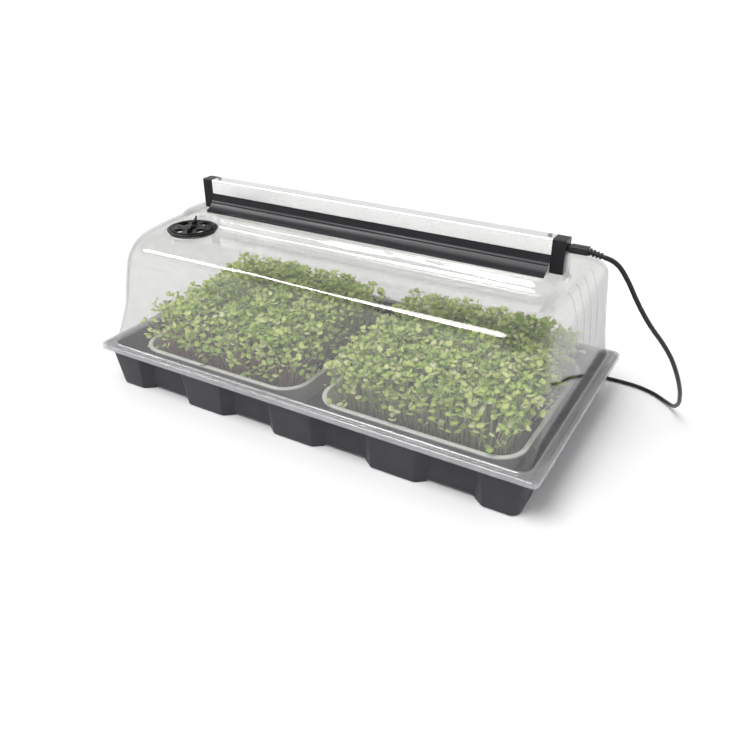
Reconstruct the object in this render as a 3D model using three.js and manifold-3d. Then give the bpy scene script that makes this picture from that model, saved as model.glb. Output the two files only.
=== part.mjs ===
// A propagation set for seedlings and microgreens: a ribbed base tray, a clear vented dome that sits on
// its rim, an LED strip light that lies on the dome's ridge, and two shallow grow trays inside.
// Millimetres, +Z up, +X towards the end where the power lead leaves. The origin is the centre of the
// base tray's footprint, on the surface that it stands on.
import * as THREE from 'three';
import { mergeVertices } from 'three/addons/utils/BufferGeometryUtils.js';
import Module from 'manifold-3d';

const wasm = await Module();
wasm.setup();

// ---- driving dimensions ----
const GAP = 0.3;                    // left between pieces that touch
const CORNER_STEPS = 6;             // facets in a rounded plan corner
const LAND_SIDES = 32;
const TURN = Math.PI * 2;

const RIM = { length: 546, width: 289.2, corner: 8, top: 51.3, lip: 45, edge: 1, fillet: 1.5 };
const DOME_WALL = 1.5;
const FLANGE_WALL = 1.5;

const TRAY = { bottomX: 255.5, bottomY: 136.5, topX: 263, topY: 140, corner: 10, wall: 1.8 };
const TRAY_EDGE = 2;                // rounding between the tray's blocks and its walls
const TRAY_RIM = { top: 49.5, lip: 3.5, edge: 0.8 };
const CHANNELS_X = [-183, -61, 61, 183];
// a wall recess is wide at its mouth, and widens by its draft towards the bottom of the tray
const CHANNEL = { throat: 37, flare: 1.25, draft: 8, face: 128, outside: 150 };
const CHANNEL_FLOOR = { height: 4, top: 50, bottom: 54 };
const END_RECESS_Y = [-62, 62];
const END_RECESS = { throat: 34, flare: 1.25, draft: 8, face: 247.5, outside: 272 };
const RECESS_TOP = 46;

// the dome's plan outline at each height: half length, half width and corner radius, and the same for
// the tighter corner by the lead at the back
const DOME_STATIONS = [
  { z: 52.5, a: 261, b: 136, r: 13 },
  { z: 75, a: 260, b: 126, r: 18 },
  { z: 102, a: 258.5, b: 120, r: 26, tight: [258.5, 120, 20] },
  { z: 132, a: 256, b: 119, r: 33, tight: [255.5, 119, 21] },
  { z: 153, a: 253, b: 117.5, r: 38, tight: [254.5, 118.5, 23] },
  { z: 163, a: 249.5, b: 115, r: 41, tight: [254, 118, 25] },
  { z: 170, a: 247, b: 110.5, r: 43, tight: [252, 115, 27] },
  { z: 174.5, a: 244.5, b: 102, r: 44, tight: [248.5, 109, 28] },
  { z: 178, a: 241, b: 82, r: 44, tight: [243, 90, 28] },
  { z: 181, a: 238.5, b: 37, r: 30 },
  { z: 187, a: 232, b: 31.5, r: 24 },
  { z: 189.7, a: 226, b: 28.5, r: 20 },
];
const ROOF_FROM = 165;              // above this height the skin's thickness is measured downwards

const VENTS = { front: [-188, -53], back: [188, 53] };
const LAND_Z = 180.3;               // top of the flat land that each vent sits on
const LAND = { radius: 31.5, pocket: 29.6, depth: 10, hole: 27 };
const VENT_Z = LAND_Z + GAP;
const SEAT = { radius: 28.7, thick: 1.5, neck: 26.6, neckWall: 1.6, neckDepth: 3.4, plate: 1.4, plateLow: -1 };
const DIAL = { radius: 24.2, thick: 1.3, low: 0.4, play: 0.7, rimWall: 1.4, rimTop: 2.4 };
const GRIP = { inner: 5, half: 1.3, top: 6.5, tabHalf: 0.8, tabTop: 8, tabDepth: 2.4 };
const GRIP_ANGLE = THREE.MathUtils.degToRad(120);
const PORT = { count: 4, inner: 12.5, outer: 22, halfAngle: THREE.MathUtils.degToRad(17) };
const RIVET = { radius: 2.2, foot: 3.6, footLow: -3, head: 4, headTop: 4.2 };

const LIGHT = { left: -208, right: 232, y: 3, top: 225, bottom: 190.2, width: 16.3, cap: 13 };
const HOUSING = { bottom: 209, wall: 1.1, edge: 0.8 };
const REFLECTOR = { half: 23.2, roofHalf: 8, roofTop: 208.7, wall: 0.9, waistY: 9.6, waistZ: 197.1 };
const LAMP = { z: 199, radius: 6, wall: 1, capLength: 9, spigot: 4, pin: 3.2, pinGap: 4 };
const PIN_R = 0.9;
const CONTACT_THICK = 0.4;
const LED_BOARD = { z: 199.6, halfY: 4, thick: 1.6 };
const HOLDER = { length: 11.5, radius: 8.2, plate: 2, footHalf: 5 };
const HOLDER_BORE = { radius: 6.5, depth: 5, pinRadius: 3.7, pinDepth: 4 };
const END_CAP = { wall: 1.6, corner: 1.6, bottom: 190.8, tongue: 9.5, tongueThick: 3.2 };
const SCREW = { inset: 5.5, shank: 1.3, head: 2.3, headThick: 1.1, length: 4.2 };
const STOP = { thick: 2, leftY: [0, 9], leftTop: 204, rightY: [-5, 11], foot: 5, lift: 0.45 };

const DRIVER = { left: 60, right: 150, halfY: 6, thick: 1.4 };
const LEAD_D = 1.8;

const PLUG_IN = { z: 216.3, halfY: 4.2, halfZ: 3, depth: 8, pinY: 2.2, pinRadius: 0.8 };
const INLET = { length: 10.5, below: 5.6, above: 3.8 };
const CONNECTOR = { length: 17, width: 9.6, height: 7.6, corner: 2.2 };
const RELIEF = { length: 14, thick: 3.6, thin: 3, ribs: 4, tilt: THREE.MathUtils.degToRad(11) };
const RIB = { ridge: 0.5, groove: 0.55, groovesEnd: 0.95, core: 0.68 };
const CORD_D = 4.5;
const CORD_SIDES = 8;
const FLOOR_Z = CORD_D / 2 + 0.2;   // centre of the cord where it lies on the surface
const COIL = { x: 130, y: 191, inner: 18.5, pitch: 4.6, rows: 4, layers: 2, bottom: 1.2, skin: 0.2 };
const TIE = { halfWidth: 5, strap: 0.7, slackIn: 1.3, slackOut: 0.6 };
const PLUG = { length: 30, width: 24, height: 14, corner: 5 };
const PLUG_RELIEF = { length: 20, thick: 4.2, thin: 3.2, ribs: 5 };
const BLADE = { y: 6.35, halfThick: 0.75, halfWidth: 3.2, out: 17, inside: 9 };

const PAN = { halfX: 116, halfY: 115, corner: 32, bottom: 6.1, top: 43, wall: 1.6, draft: 9, rim: 3.6 };
const PAN_FOOT = { edge: 2, height: 2.5 };
const PAN_RIM = { thick: 3, edge: 1 };
const PAN_X = { left: -127, right: 127 };
const MEDIUM_TOP = 29;
// the plants' outline from the growing medium up: half length, half width and corner radius
const GREENS_STATIONS = [
  { z: MEDIUM_TOP + GAP, a: 103, b: 102, r: 24 },
  { z: 43, a: 107, b: 106, r: 26 },
  { z: 57, a: 114, b: 112.5, r: 33 },
  { z: 85, a: 114.5, b: 112.5, r: 34 },
  { z: 99, a: 104, b: 102, r: 34 },
];

// ---- colours ----
const material = (color, roughness, metalness = 0) =>
  new THREE.MeshStandardMaterial({ color, roughness, metalness });
const clearPlastic = (color, opacity) =>
  new THREE.MeshStandardMaterial({ color, roughness: 0.08, metalness: 0, transparent: true, opacity });
const CHARCOAL = material(0x4b494e, 0.45);
const BLACK = material(0x232325, 0.4);
const BLACK_RUBBER = material(0x1c1c1e, 0.6);
const WHITE = material(0xf2f2f0, 0.35);
const SILVER = material(0xd8d9db, 0.3, 0.8);
const STEEL = material(0x6e6e70, 0.35, 0.9);
const BRASS = material(0xb8923e, 0.35, 0.9);
const GREEN_BOARD = material(0x2c6b45, 0.5);
const CLEAR = clearPlastic(0xe8eced, 0.25);
const CLEAR_TUBE = clearPlastic(0xf4f6f6, 0.35);
const SOIL = material(0x4a3427, 0.95);
const LEAF = material(0x6f9c3c, 0.7);

// ---- helpers ----
const object = new THREE.Group();

function addPart(name, geometry, look, parent = object) {
  const mesh = new THREE.Mesh(geometry, look);
  mesh.name = name;
  parent.add(mesh);
  return mesh;
}

function toSolid(geometry) {
  const bare = (geometry.index ? geometry : mergeVertices(geometry)).clone();
  bare.deleteAttribute('normal');
  bare.deleteAttribute('uv');
  const merged = mergeVertices(bare, 1e-4);
  const mesh = new wasm.Mesh({
    numProp: 3,
    vertProperties: new Float32Array(merged.attributes.position.array),
    triVerts: new Uint32Array(merged.index.array),
  });
  return new wasm.Manifold(mesh);
}

function toGeometry(solid) {
  const mesh = solid.getMesh();
  const geometry = new THREE.BufferGeometry();
  geometry.setAttribute('position', new THREE.BufferAttribute(mesh.vertProperties, 3));
  geometry.setIndex(new THREE.BufferAttribute(mesh.triVerts, 1));
  geometry.computeVertexNormals();
  return geometry;
}

const add = (solid, ...pieces) => pieces.reduce((sum, piece) => sum.add(toSolid(piece)), solid);
const cut = (solid, ...pieces) => pieces.reduce((rest, piece) => rest.subtract(toSolid(piece)), solid);
const join = (first, ...others) => add(toSolid(first), ...others);

// a rounded rectangle in plan, as points round it from the +X side, counter-clockwise; tight gives the
// first corner a half length, half width and radius of its own
function planRing({ a, b, r, z, tight = [a, b, r] }) {
  const points = [];
  const corners = [tight, [-a, b, r], [-a, -b, r], [a, -b, r]];
  corners.forEach(([x, y, radius], quarter) => {
    const cx = x - Math.sign(x) * radius;
    const cy = y - Math.sign(y) * radius;
    for (let step = 0; step <= CORNER_STEPS; step += 1) {
      const angle = (quarter + step / CORNER_STEPS) * Math.PI / 2;
      points.push([cx + radius * Math.cos(angle), cy + radius * Math.sin(angle), z]);
    }
  });
  return points;
}

const average = (points) => [0, 1, 2].map((axis) => (
  points.reduce((sum, point) => sum + point[axis], 0) / points.length));

// a closed solid through rings of points, counter-clockwise from above, from the lowest to the highest
function skinned(rings) {
  const count = rings[0].length;
  const last = rings.length - 1;
  const positions = [...rings.flat(2), ...average(rings[0]), ...average(rings[last])];
  const bottom = rings.length * count;
  const indices = [];
  for (let i = 0; i < count; i += 1) {
    const next = (i + 1) % count;
    for (let ring = 0; ring < last; ring += 1) {
      const low = ring * count;
      const high = low + count;
      indices.push(low + i, low + next, high + next, low + i, high + next, high + i);
    }
    indices.push(bottom, next, i, bottom + 1, last * count + i, last * count + next);
  }
  const geometry = new THREE.BufferGeometry();
  geometry.setAttribute('position', new THREE.Float32BufferAttribute(positions, 3));
  geometry.setIndex(indices);
  return geometry;
}

// a closed solid through plan outlines
const loft = (stations) => skinned(stations.map(planRing));

function box(x0, x1, y0, y1, z0, z1) {
  const geometry = new THREE.BoxGeometry(x1 - x0, y1 - y0, z1 - z0);
  return geometry.translate((x0 + x1) / 2, (y0 + y1) / 2, (z0 + z1) / 2);
}

const flat = (shape, depth, curveSegments = 8) =>
  new THREE.ExtrudeGeometry(shape, { depth, bevelEnabled: false, curveSegments });

// a shape drawn as (y, z) and pushed along +X from x0
function alongX(shape, x0, x1, curveSegments = 8) {
  const geometry = flat(shape, x1 - x0, curveSegments);
  const turn = new THREE.Matrix4().makeBasis(
    new THREE.Vector3(0, 1, 0), new THREE.Vector3(0, 0, 1), new THREE.Vector3(1, 0, 0));
  return geometry.applyMatrix4(turn).translate(x0, 0, 0);
}

function polygon(points) {
  return new THREE.Shape(points.map(([u, v]) => new THREE.Vector2(u, v)));
}

function cylinderX(radius, x0, x1, y, z, sides = 20) {
  const geometry = new THREE.CylinderGeometry(radius, radius, x1 - x0, sides);
  return geometry.rotateZ(-Math.PI / 2).translate((x0 + x1) / 2, y, z);
}

function cylinderZ(radius, z0, z1, x, y, sides = 20) {
  const geometry = new THREE.CylinderGeometry(radius, radius, z1 - z0, sides);
  return geometry.rotateX(Math.PI / 2).translate(x, y, (z0 + z1) / 2);
}

function roundedShape(halfU, halfV, radius) {
  const shape = new THREE.Shape();
  shape.moveTo(-halfU + radius, -halfV);
  shape.lineTo(halfU - radius, -halfV);
  shape.quadraticCurveTo(halfU, -halfV, halfU, -halfV + radius);
  shape.lineTo(halfU, halfV - radius);
  shape.quadraticCurveTo(halfU, halfV, halfU - radius, halfV);
  shape.lineTo(-halfU + radius, halfV);
  shape.quadraticCurveTo(-halfU, halfV, -halfU, halfV - radius);
  shape.lineTo(-halfU, -halfV + radius);
  shape.quadraticCurveTo(-halfU, -halfV, -halfU + radius, -halfV);
  return shape;
}

// ---- base tray ----
// the space of one wall recess; grown thickens it for the tray's inner skin
function wallRecess(centre, { throat, flare, draft, face, outside }, side, grown, alongY) {
  const ringAt = (z, widening) => {
    const narrow = throat / 2 + widening + grown;
    const wide = narrow + (outside - face) * flare;
    const inner = face - grown;
    const plan = [[-wide, outside], [wide, outside], [narrow, inner], [-narrow, inner]];
    const points = plan.map(([across, out]) => (
      alongY ? [side * out, centre + across, z] : [centre + across, side * out, z]));
    return (side > 0) === alongY ? points : points.reverse();
  };
  const top = RECESS_TOP + grown;
  return skinned([ringAt(-1, draft), ringAt(top, 0)]);
}

function recessSolids(grown) {
  const pieces = [];
  for (const side of [-1, 1]) {
    pieces.push(...CHANNELS_X.map((x) => wallRecess(x, CHANNEL, side, grown, false)));
    pieces.push(...END_RECESS_Y.map((y) => wallRecess(y, END_RECESS, side, grown, true)));
  }
  for (const x of CHANNELS_X) {
    const low = CHANNEL_FLOOR.bottom / 2 + grown;
    const high = CHANNEL_FLOOR.top / 2 + grown;
    const crown = CHANNEL_FLOOR.height + grown;
    const section = polygon([[-low, -1], [low, -1], [high, crown], [-high, crown]]);
    const length = 2 * CHANNEL.face + 1;
    pieces.push(flat(section, length).rotateX(Math.PI / 2).translate(x, length / 2, 0));
  }
  return pieces;
}

function baseTray() {
  const { bottomX, bottomY, topX, topY, corner, wall } = TRAY;
  const { top, lip, edge } = TRAY_RIM;
  const footX = bottomX - TRAY_EDGE;
  const footY = bottomY - TRAY_EDGE;
  const footCorner = corner - TRAY_EDGE;
  const body = loft([
    { z: 0, a: footX, b: footY, r: footCorner },
    { z: TRAY_EDGE, a: bottomX, b: bottomY, r: corner },
    { z: top - wall, a: topX, b: topY, r: corner },
  ]);
  const inside = loft([
    { z: wall, a: footX - wall, b: footY - wall, r: footCorner - wall },
    { z: TRAY_EDGE + wall, a: bottomX - wall, b: bottomY - wall, r: corner - wall },
    { z: top - wall, a: topX - wall, b: topY - wall, r: corner - wall },
    { z: top + 1, a: topX - wall, b: topY - wall, r: corner - wall },
  ]);
  const rimX = RIM.length / 2 - FLANGE_WALL - GAP;
  const rimY = RIM.width / 2 - FLANGE_WALL - GAP;
  const rimBlock = loft([
    { z: top - lip, a: rimX, b: rimY, r: corner },
    { z: top - edge, a: rimX, b: rimY, r: corner },
    { z: top, a: rimX - edge, b: rimY - edge, r: corner - edge },
  ]);
  const underRim = loft([
    { z: top - lip - 1, a: rimX - wall, b: rimY - wall, r: corner - wall },
    { z: top - wall, a: rimX - wall, b: rimY - wall, r: corner - wall },
  ]);
  const outer = cut(toSolid(body), ...recessSolids(0)).add(cut(toSolid(rimBlock), underRim));
  const hollow = cut(toSolid(inside), ...recessSolids(wall));
  return toGeometry(outer.subtract(hollow));
}
addPart('base_tray', baseTray(), CHARCOAL);

// ---- dome ----
// a plan outline stepped in by so much, and lowered
const inset = ({ z, a, b, r, tight = [a, b, r] }, by, down = 0) => (
  { z: z - down, a: a - by, b: b - by, r: r - by, tight: tight.map((size) => size - by) });

function dome() {
  const halfX = RIM.length / 2;
  const halfY = RIM.width / 2;
  const rim = { a: halfX, b: halfY, r: RIM.corner };
  const foot = DOME_STATIONS[0];
  const outerRings = [
    { ...rim, z: RIM.lip },
    { ...rim, z: RIM.top - RIM.edge },
    inset({ ...rim, z: RIM.top }, RIM.edge),
    { z: RIM.top, a: foot.a + RIM.fillet, b: foot.b + RIM.fillet, r: foot.r },
    ...DOME_STATIONS,
  ];
  const innerRings = [
    inset({ ...rim, z: RIM.lip - 1 }, FLANGE_WALL),
    inset({ ...rim, z: RIM.top - DOME_WALL }, FLANGE_WALL),
    inset({ ...foot, z: RIM.top - DOME_WALL }, DOME_WALL),
    ...DOME_STATIONS.map((station) => inset(station, DOME_WALL, station.z > ROOF_FROM ? DOME_WALL : 0)),
  ];
  let skin = toSolid(loft(outerRings));
  let hollow = toSolid(loft(innerRings));
  for (const [x, y] of Object.values(VENTS)) {
    // a round land for the vent, sunk where it runs into the ridge's flank
    const clear = LAND_Z + 20;
    skin = add(skin, cylinderZ(LAND.radius, LAND_Z - LAND.depth, LAND_Z, x, y, LAND_SIDES));
    skin = cut(skin, cylinderZ(LAND.pocket, LAND_Z, clear, x, y, LAND_SIDES));
    hollow = cut(hollow, cylinderZ(LAND.pocket + DOME_WALL, LAND_Z - DOME_WALL, clear, x, y, LAND_SIDES));
  }
  const holes = Object.values(VENTS).map(([x, y]) => (
    cylinderZ(LAND.hole, LAND_Z - LAND.depth, LAND_Z + LAND.depth, x, y, LAND_SIDES)));
  return toGeometry(cut(skin.subtract(hollow), ...holes));
}
addPart('dome', dome(), CLEAR);

// ---- end stops: clear angle pieces bonded to the ridge, which keep the light from sliding along it ----
const [hip, shoulder, ridge] = DOME_STATIONS.slice(-3);

function leftStop() {
  const x = LIGHT.left - GAP - STOP.thick;
  const low = ridge.z + GAP;
  const upright = box(x, x + STOP.thick, STOP.leftY[0], STOP.leftY[1], low, STOP.leftTop);
  const foot = box(x - STOP.foot, x + STOP.thick / 2, STOP.leftY[0], STOP.leftY[1], low, low + STOP.thick);
  return toGeometry(join(upright, foot));
}

// the right stop's foot follows the ridge's sloping end
function rightStop() {
  const x = LIGHT.right + GAP;
  const top = PLUG_IN.z - CONNECTOR.height / 2 - 1;
  const slope = (shoulder.z - hip.z) / (hip.a - shoulder.a);
  const skinZ = (at) => shoulder.z + STOP.lift - slope * (at - shoulder.a);
  const outline = [[x, skinZ(x)], [x + STOP.thick, skinZ(x + STOP.thick)], [x + STOP.thick, top], [x, top]];
  const [y0, y1] = STOP.rightY;
  return flat(polygon(outline), y1 - y0).rotateX(Math.PI / 2).translate(0, y1, 0);
}
addPart('light_stop_left', leftStop(), CLEAR);
addPart('light_stop_right', rightStop(), CLEAR);

// ---- vents: a seat clipped into the dome, a dial that opens and shuts its four ports, and a rivet ----
function sectorHole(angle) {
  const hole = new THREE.Path();
  hole.absarc(0, 0, PORT.outer, angle - PORT.halfAngle, angle + PORT.halfAngle, false);
  hole.absarc(0, 0, PORT.inner, angle + PORT.halfAngle, angle - PORT.halfAngle, true);
  return hole;
}

// a full circle as equal arcs, so that it gets more facets than the short arcs beside it
function circle(path, radius, arcs, clockwise) {
  for (let k = 0; k < arcs; k += 1) {
    const turn = clockwise ? -TURN / arcs : TURN / arcs;
    path.absarc(0, 0, radius, k * turn, (k + 1) * turn, clockwise);
  }
  return path;
}

function portedDisc(radius, thickness, boreRadius) {
  const disc = circle(new THREE.Shape(), radius, 4, false);
  for (let k = 0; k < PORT.count; k += 1) {
    disc.holes.push(sectorHole(GRIP_ANGLE + (k + 0.5) * TURN / PORT.count));
  }
  disc.holes.push(circle(new THREE.Path(), boreRadius, 2, true));
  return flat(disc, thickness, 3);
}

function ring(outer, inner, z0, z1) {
  const shape = circle(new THREE.Shape(), outer, 4, false);
  shape.holes.push(circle(new THREE.Path(), inner, 4, true));
  return flat(shape, z1 - z0, 3).translate(0, 0, z0);
}

function ventSeat() {
  const plate = portedDisc(SEAT.neck - 1, SEAT.plate, RIVET.radius + GAP).translate(0, 0, SEAT.plateLow);
  const flange = ring(SEAT.radius, DIAL.radius + DIAL.play, 0, SEAT.thick);
  const neck = ring(SEAT.neck, SEAT.neck - SEAT.neckWall, -SEAT.neckDepth, SEAT.plateLow + SEAT.plate);
  return toGeometry(join(plate, flange, neck));
}

function ventDial() {
  const low = DIAL.low + GAP;
  const middle = low + DIAL.thick / 2;
  const plate = portedDisc(DIAL.radius, DIAL.thick, RIVET.radius + GAP).translate(0, 0, low);
  const rim = ring(DIAL.radius, DIAL.radius - DIAL.rimWall, middle, DIAL.rimTop);
  const grips = [0, Math.PI].map((turn) => (
    box(GRIP.inner, DIAL.radius - 2, -GRIP.half, GRIP.half, middle, GRIP.top).rotateZ(GRIP_ANGLE + turn)));
  const tabEnd = DIAL.radius - 0.6;
  const tab = box(tabEnd - GRIP.tabDepth, tabEnd, -GRIP.tabHalf, GRIP.tabHalf, middle, GRIP.tabTop);
  return toGeometry(join(plate, rim, ...grips, tab.rotateZ(GRIP_ANGLE)));
}

function ventRivet() {
  const { radius, foot, footLow, head, headTop } = RIVET;
  const footTop = SEAT.plateLow - GAP;
  const headLow = DIAL.low + GAP + DIAL.thick + GAP;
  const profile = [[0, footLow], [foot, footLow], [foot, footTop], [radius, footTop], [radius, headLow],
    [head, headLow], [head - 0.8, headTop - 0.4], [0, headTop]];
  return new THREE.LatheGeometry(profile.map(([u, z]) => new THREE.Vector2(u, z)), 16).rotateX(Math.PI / 2);
}

for (const [where, [x, y]] of Object.entries(VENTS)) {
  const vent = new THREE.Group();
  vent.position.set(x, y, VENT_Z);
  addPart(`vent_seat_${where}`, ventSeat(), BLACK, vent);
  addPart(`vent_dial_${where}`, ventDial(), BLACK, vent);
  addPart(`vent_rivet_${where}`, ventRivet(), BLACK, vent);
  object.add(vent);
}

// ---- light: aluminium channel, flared reflector, end caps, lamp holders, lamp and driver ----
const housingX = [LIGHT.left + LIGHT.cap + GAP, LIGHT.right - LIGHT.cap - GAP];
const halfWidth = LIGHT.width / 2;
const mirroredY = (points) => points.map(([y, z]) => [-y, z]);

function lightHousing() {
  const { bottom, wall, edge } = HOUSING;
  const outer = [[halfWidth, bottom], [halfWidth, LIGHT.top - edge], [halfWidth - edge, LIGHT.top]];
  const inner = [[halfWidth - wall, LIGHT.top - wall], [halfWidth - wall, bottom]];
  const section = polygon([
    ...outer, ...mirroredY(outer).reverse(), ...mirroredY(inner).reverse(), ...inner]);
  const solid = toSolid(alongX(section, ...housingX).translate(0, LIGHT.y, 0));
  const screwX = [housingX[0] + SCREW.inset, housingX[1] - SCREW.inset];
  const holes = screwX.map((x) => cylinderZ(SCREW.shank + GAP, LIGHT.top - 3, LIGHT.top + 1, x, LIGHT.y, 12));
  return toGeometry(cut(solid, ...holes));
}

// half of the reflector's flare as (y, z) points, roof's edge to lip; depth moves it under the skin
function flare(depth) {
  const { half, roofHalf, roofTop, wall, waistY, waistZ } = REFLECTOR;
  const curve = new THREE.QuadraticBezierCurve(
    new THREE.Vector2(roofHalf - depth, roofTop - depth),
    new THREE.Vector2(waistY - depth, waistZ - depth),
    new THREE.Vector2(half - depth * 0.4, LIGHT.bottom + wall - depth));
  return curve.getPoints(7).map((point) => [point.x, point.y]);
}

function reflector() {
  const outer = flare(0);
  const inner = flare(REFLECTOR.wall);
  const section = polygon([
    ...outer.slice().reverse(), ...mirroredY(outer), ...mirroredY(inner).reverse(), ...inner]);
  return alongX(section, housingX[0], housingX[1]).translate(0, LIGHT.y, 0);
}

// a piece made for the lead's end (+X), kept there or mirrored to the far end
function placedEnd(geometry, atFarEnd) {
  if (!atFarEnd) return geometry;
  const middle = (LIGHT.left + LIGHT.right) / 2;
  const flipped = geometry.index ? geometry.toNonIndexed() : geometry.clone();
  flipped.scale(-1, 1, 1).translate(2 * middle, 0, 0);
  const position = flipped.attributes.position;
  for (let i = 0; i < position.count; i += 3) {
    const second = new THREE.Vector3().fromBufferAttribute(position, i + 1);
    const third = new THREE.Vector3().fromBufferAttribute(position, i + 2);
    position.setXYZ(i + 1, third.x, third.y, third.z);
    position.setXYZ(i + 2, second.x, second.y, second.z);
  }
  flipped.deleteAttribute('normal');
  return mergeVertices(flipped, 1e-4);
}

const tongueTop = LIGHT.top - HOUSING.wall - GAP;

function endCap(atFarEnd) {
  const { wall, corner, bottom, tongue, tongueThick } = END_CAP;
  const x0 = LIGHT.right - LIGHT.cap;
  const y = LIGHT.y;
  const outline = roundedShape(halfWidth, (LIGHT.top - bottom) / 2, corner);
  const shell = alongX(outline, x0, LIGHT.right, 3).translate(0, y, (LIGHT.top + bottom) / 2);
  const tongueHalf = halfWidth - HOUSING.wall - GAP;
  const tongueLow = tongueTop - tongueThick;
  const tongueBox = box(x0 - tongue, x0 + 2, y - tongueHalf, y + tongueHalf, tongueLow, tongueTop);
  const inner = halfWidth - wall;
  const hollow = box(x0 - 0.01, LIGHT.right - wall, y - inner, y + inner, bottom + wall, tongueLow);
  const screwX = housingX[1] - SCREW.inset;
  const screwHole = cylinderZ(SCREW.shank + GAP, tongueLow - 1, tongueTop + 1, screwX, y, 12);
  const solid = cut(join(shell, tongueBox), hollow, screwHole);
  if (atFarEnd) return toGeometry(solid);
  const { z, halfY, halfZ } = PLUG_IN;
  const port = box(LIGHT.right - wall - 1, LIGHT.right + 1, y - halfY, y + halfY, z - halfZ, z + halfZ);
  return toGeometry(cut(solid, port));
}

const holderX = housingX[1] - GAP - HOLDER.length;      // the holder's mouth
const boreEnd = holderX + HOLDER_BORE.depth;

function lampHolder() {
  const x1 = holderX + HOLDER.length;
  const y = LIGHT.y;
  const inner = flare(REFLECTOR.wall + GAP + 0.1);
  const outline = polygon([...inner.slice().reverse(), ...mirroredY(inner)]);
  const plate = alongX(outline, x1 - HOLDER.plate, x1).translate(0, y, 0);
  const collar = cylinderX(HOLDER.radius, holderX, x1, y, LAMP.z, 24);
  const footTop = REFLECTOR.roofTop - REFLECTOR.wall - GAP - 0.1;
  const foot = box(holderX + 2, x1, y - HOLDER.footHalf, y + HOLDER.footHalf, LAMP.z + 4, footTop);
  const bore = cylinderX(HOLDER_BORE.radius, holderX - 1, boreEnd, y, LAMP.z, 24);
  const pinBore = cylinderX(HOLDER_BORE.pinRadius, holderX, boreEnd + HOLDER_BORE.pinDepth, y, LAMP.z, 16);
  return toGeometry(cut(join(plate, collar, foot), bore, pinBore));
}

const lampEnd = boreEnd - GAP;
const tubeEnd = lampEnd - LAMP.capLength;

function lampCap() {
  const y = LIGHT.y;
  const sleeve = cylinderX(LAMP.radius, tubeEnd + GAP, lampEnd, y, LAMP.z, 24);
  const spigot = cylinderX(LAMP.radius - LAMP.wall - GAP, tubeEnd - LAMP.spigot, lampEnd - 1, y, LAMP.z, 20);
  const pins = [-1, 1].map((side) => (
    cylinderX(PIN_R, lampEnd - 1, lampEnd + LAMP.pin, y + side * LAMP.pinGap / 2, LAMP.z, 8)));
  return toGeometry(join(sleeve, spigot, ...pins));
}

function holderContact() {
  const x1 = boreEnd + HOLDER_BORE.pinDepth - GAP;
  return cylinderX(HOLDER_BORE.pinRadius - GAP, x1 - CONTACT_THICK, x1, LIGHT.y, LAMP.z, 12);
}

function screw() {
  const x = housingX[1] - SCREW.inset;
  const low = LIGHT.top + GAP;
  const head = cylinderZ(SCREW.head, low, low + SCREW.headThick, x, LIGHT.y, 12);
  const shank = cylinderZ(SCREW.shank, low - SCREW.length, low + SCREW.headThick / 2, x, LIGHT.y, 12);
  return toGeometry(join(head, shank));
}

addPart('light_housing', lightHousing(), SILVER);
addPart('reflector', reflector(), BLACK);
for (const [where, atFarEnd] of Object.entries({ right: false, left: true })) {
  addPart(`end_cap_${where}`, placedEnd(endCap(atFarEnd), atFarEnd), BLACK);
  addPart(`lamp_holder_${where}`, placedEnd(lampHolder(), atFarEnd), WHITE);
  addPart(`holder_contact_${where}`, placedEnd(holderContact(), atFarEnd), BRASS);
  addPart(`tube_cap_${where}`, placedEnd(lampCap(), atFarEnd), WHITE);
  addPart(`housing_screw_${where}`, placedEnd(screw(), atFarEnd), STEEL);
}

// the lamp's clear tube, and the strip of emitters on its board inside
const lightMiddle = (LIGHT.left + LIGHT.right) / 2;
const tubeHalf = tubeEnd - lightMiddle;

function ledTube() {
  const section = new THREE.Shape();
  section.absarc(0, 0, LAMP.radius, 0, TURN, false);
  const bore = new THREE.Path();
  bore.absarc(0, 0, LAMP.radius - LAMP.wall, 0, TURN, true);
  section.holes.push(bore);
  return alongX(section, lightMiddle - tubeHalf, lightMiddle + tubeHalf, 12).translate(0, LIGHT.y, LAMP.z);
}

function ledBoard() {
  const half = tubeHalf - LAMP.spigot - GAP;
  const { z, halfY, thick } = LED_BOARD;
  return box(lightMiddle - half, lightMiddle + half, LIGHT.y - halfY, LIGHT.y + halfY, z, z + thick);
}
addPart('led_tube', ledTube(), CLEAR_TUBE);
addPart('led_board', ledBoard(), WHITE);

// driver on its board, on the reflector's roof inside the channel
const driverZ = REFLECTOR.roofTop + GAP;
const partsZ = driverZ + DRIVER.thick + GAP;
const driverY = [LIGHT.y - DRIVER.halfY, LIGHT.y + DRIVER.halfY];
addPart('driver_board',
  box(DRIVER.left, DRIVER.right, ...driverY, driverZ, driverZ + DRIVER.thick), GREEN_BOARD);
addPart('driver_transformer', box(88, 104, LIGHT.y - 5.5, LIGHT.y + 5.5, partsZ, partsZ + 9), BLACK);
addPart('driver_capacitor', cylinderX(4, 112, 128, LIGHT.y, partsZ + 4, 16), BLACK);
addPart('driver_choke', cylinderZ(4.5, partsZ, partsZ + 8, 74, LIGHT.y, 16), BRASS);

// a round tube along hand-placed points
function tubeAlong(points, diameter, sides, steps) {
  const section = new THREE.Shape();
  for (let k = 0; k < sides; k += 1) {
    const angle = k * TURN / sides;
    const u = diameter / 2 * Math.cos(angle);
    const v = diameter / 2 * Math.sin(angle);
    if (k) section.lineTo(u, v);
    else section.moveTo(u, v);
  }
  section.closePath();
  const path = new THREE.CatmullRomCurve3(points.map((point) => new THREE.Vector3(...point)));
  return new THREE.ExtrudeGeometry(section, { steps, extrudePath: path, bevelEnabled: false });
}

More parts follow.
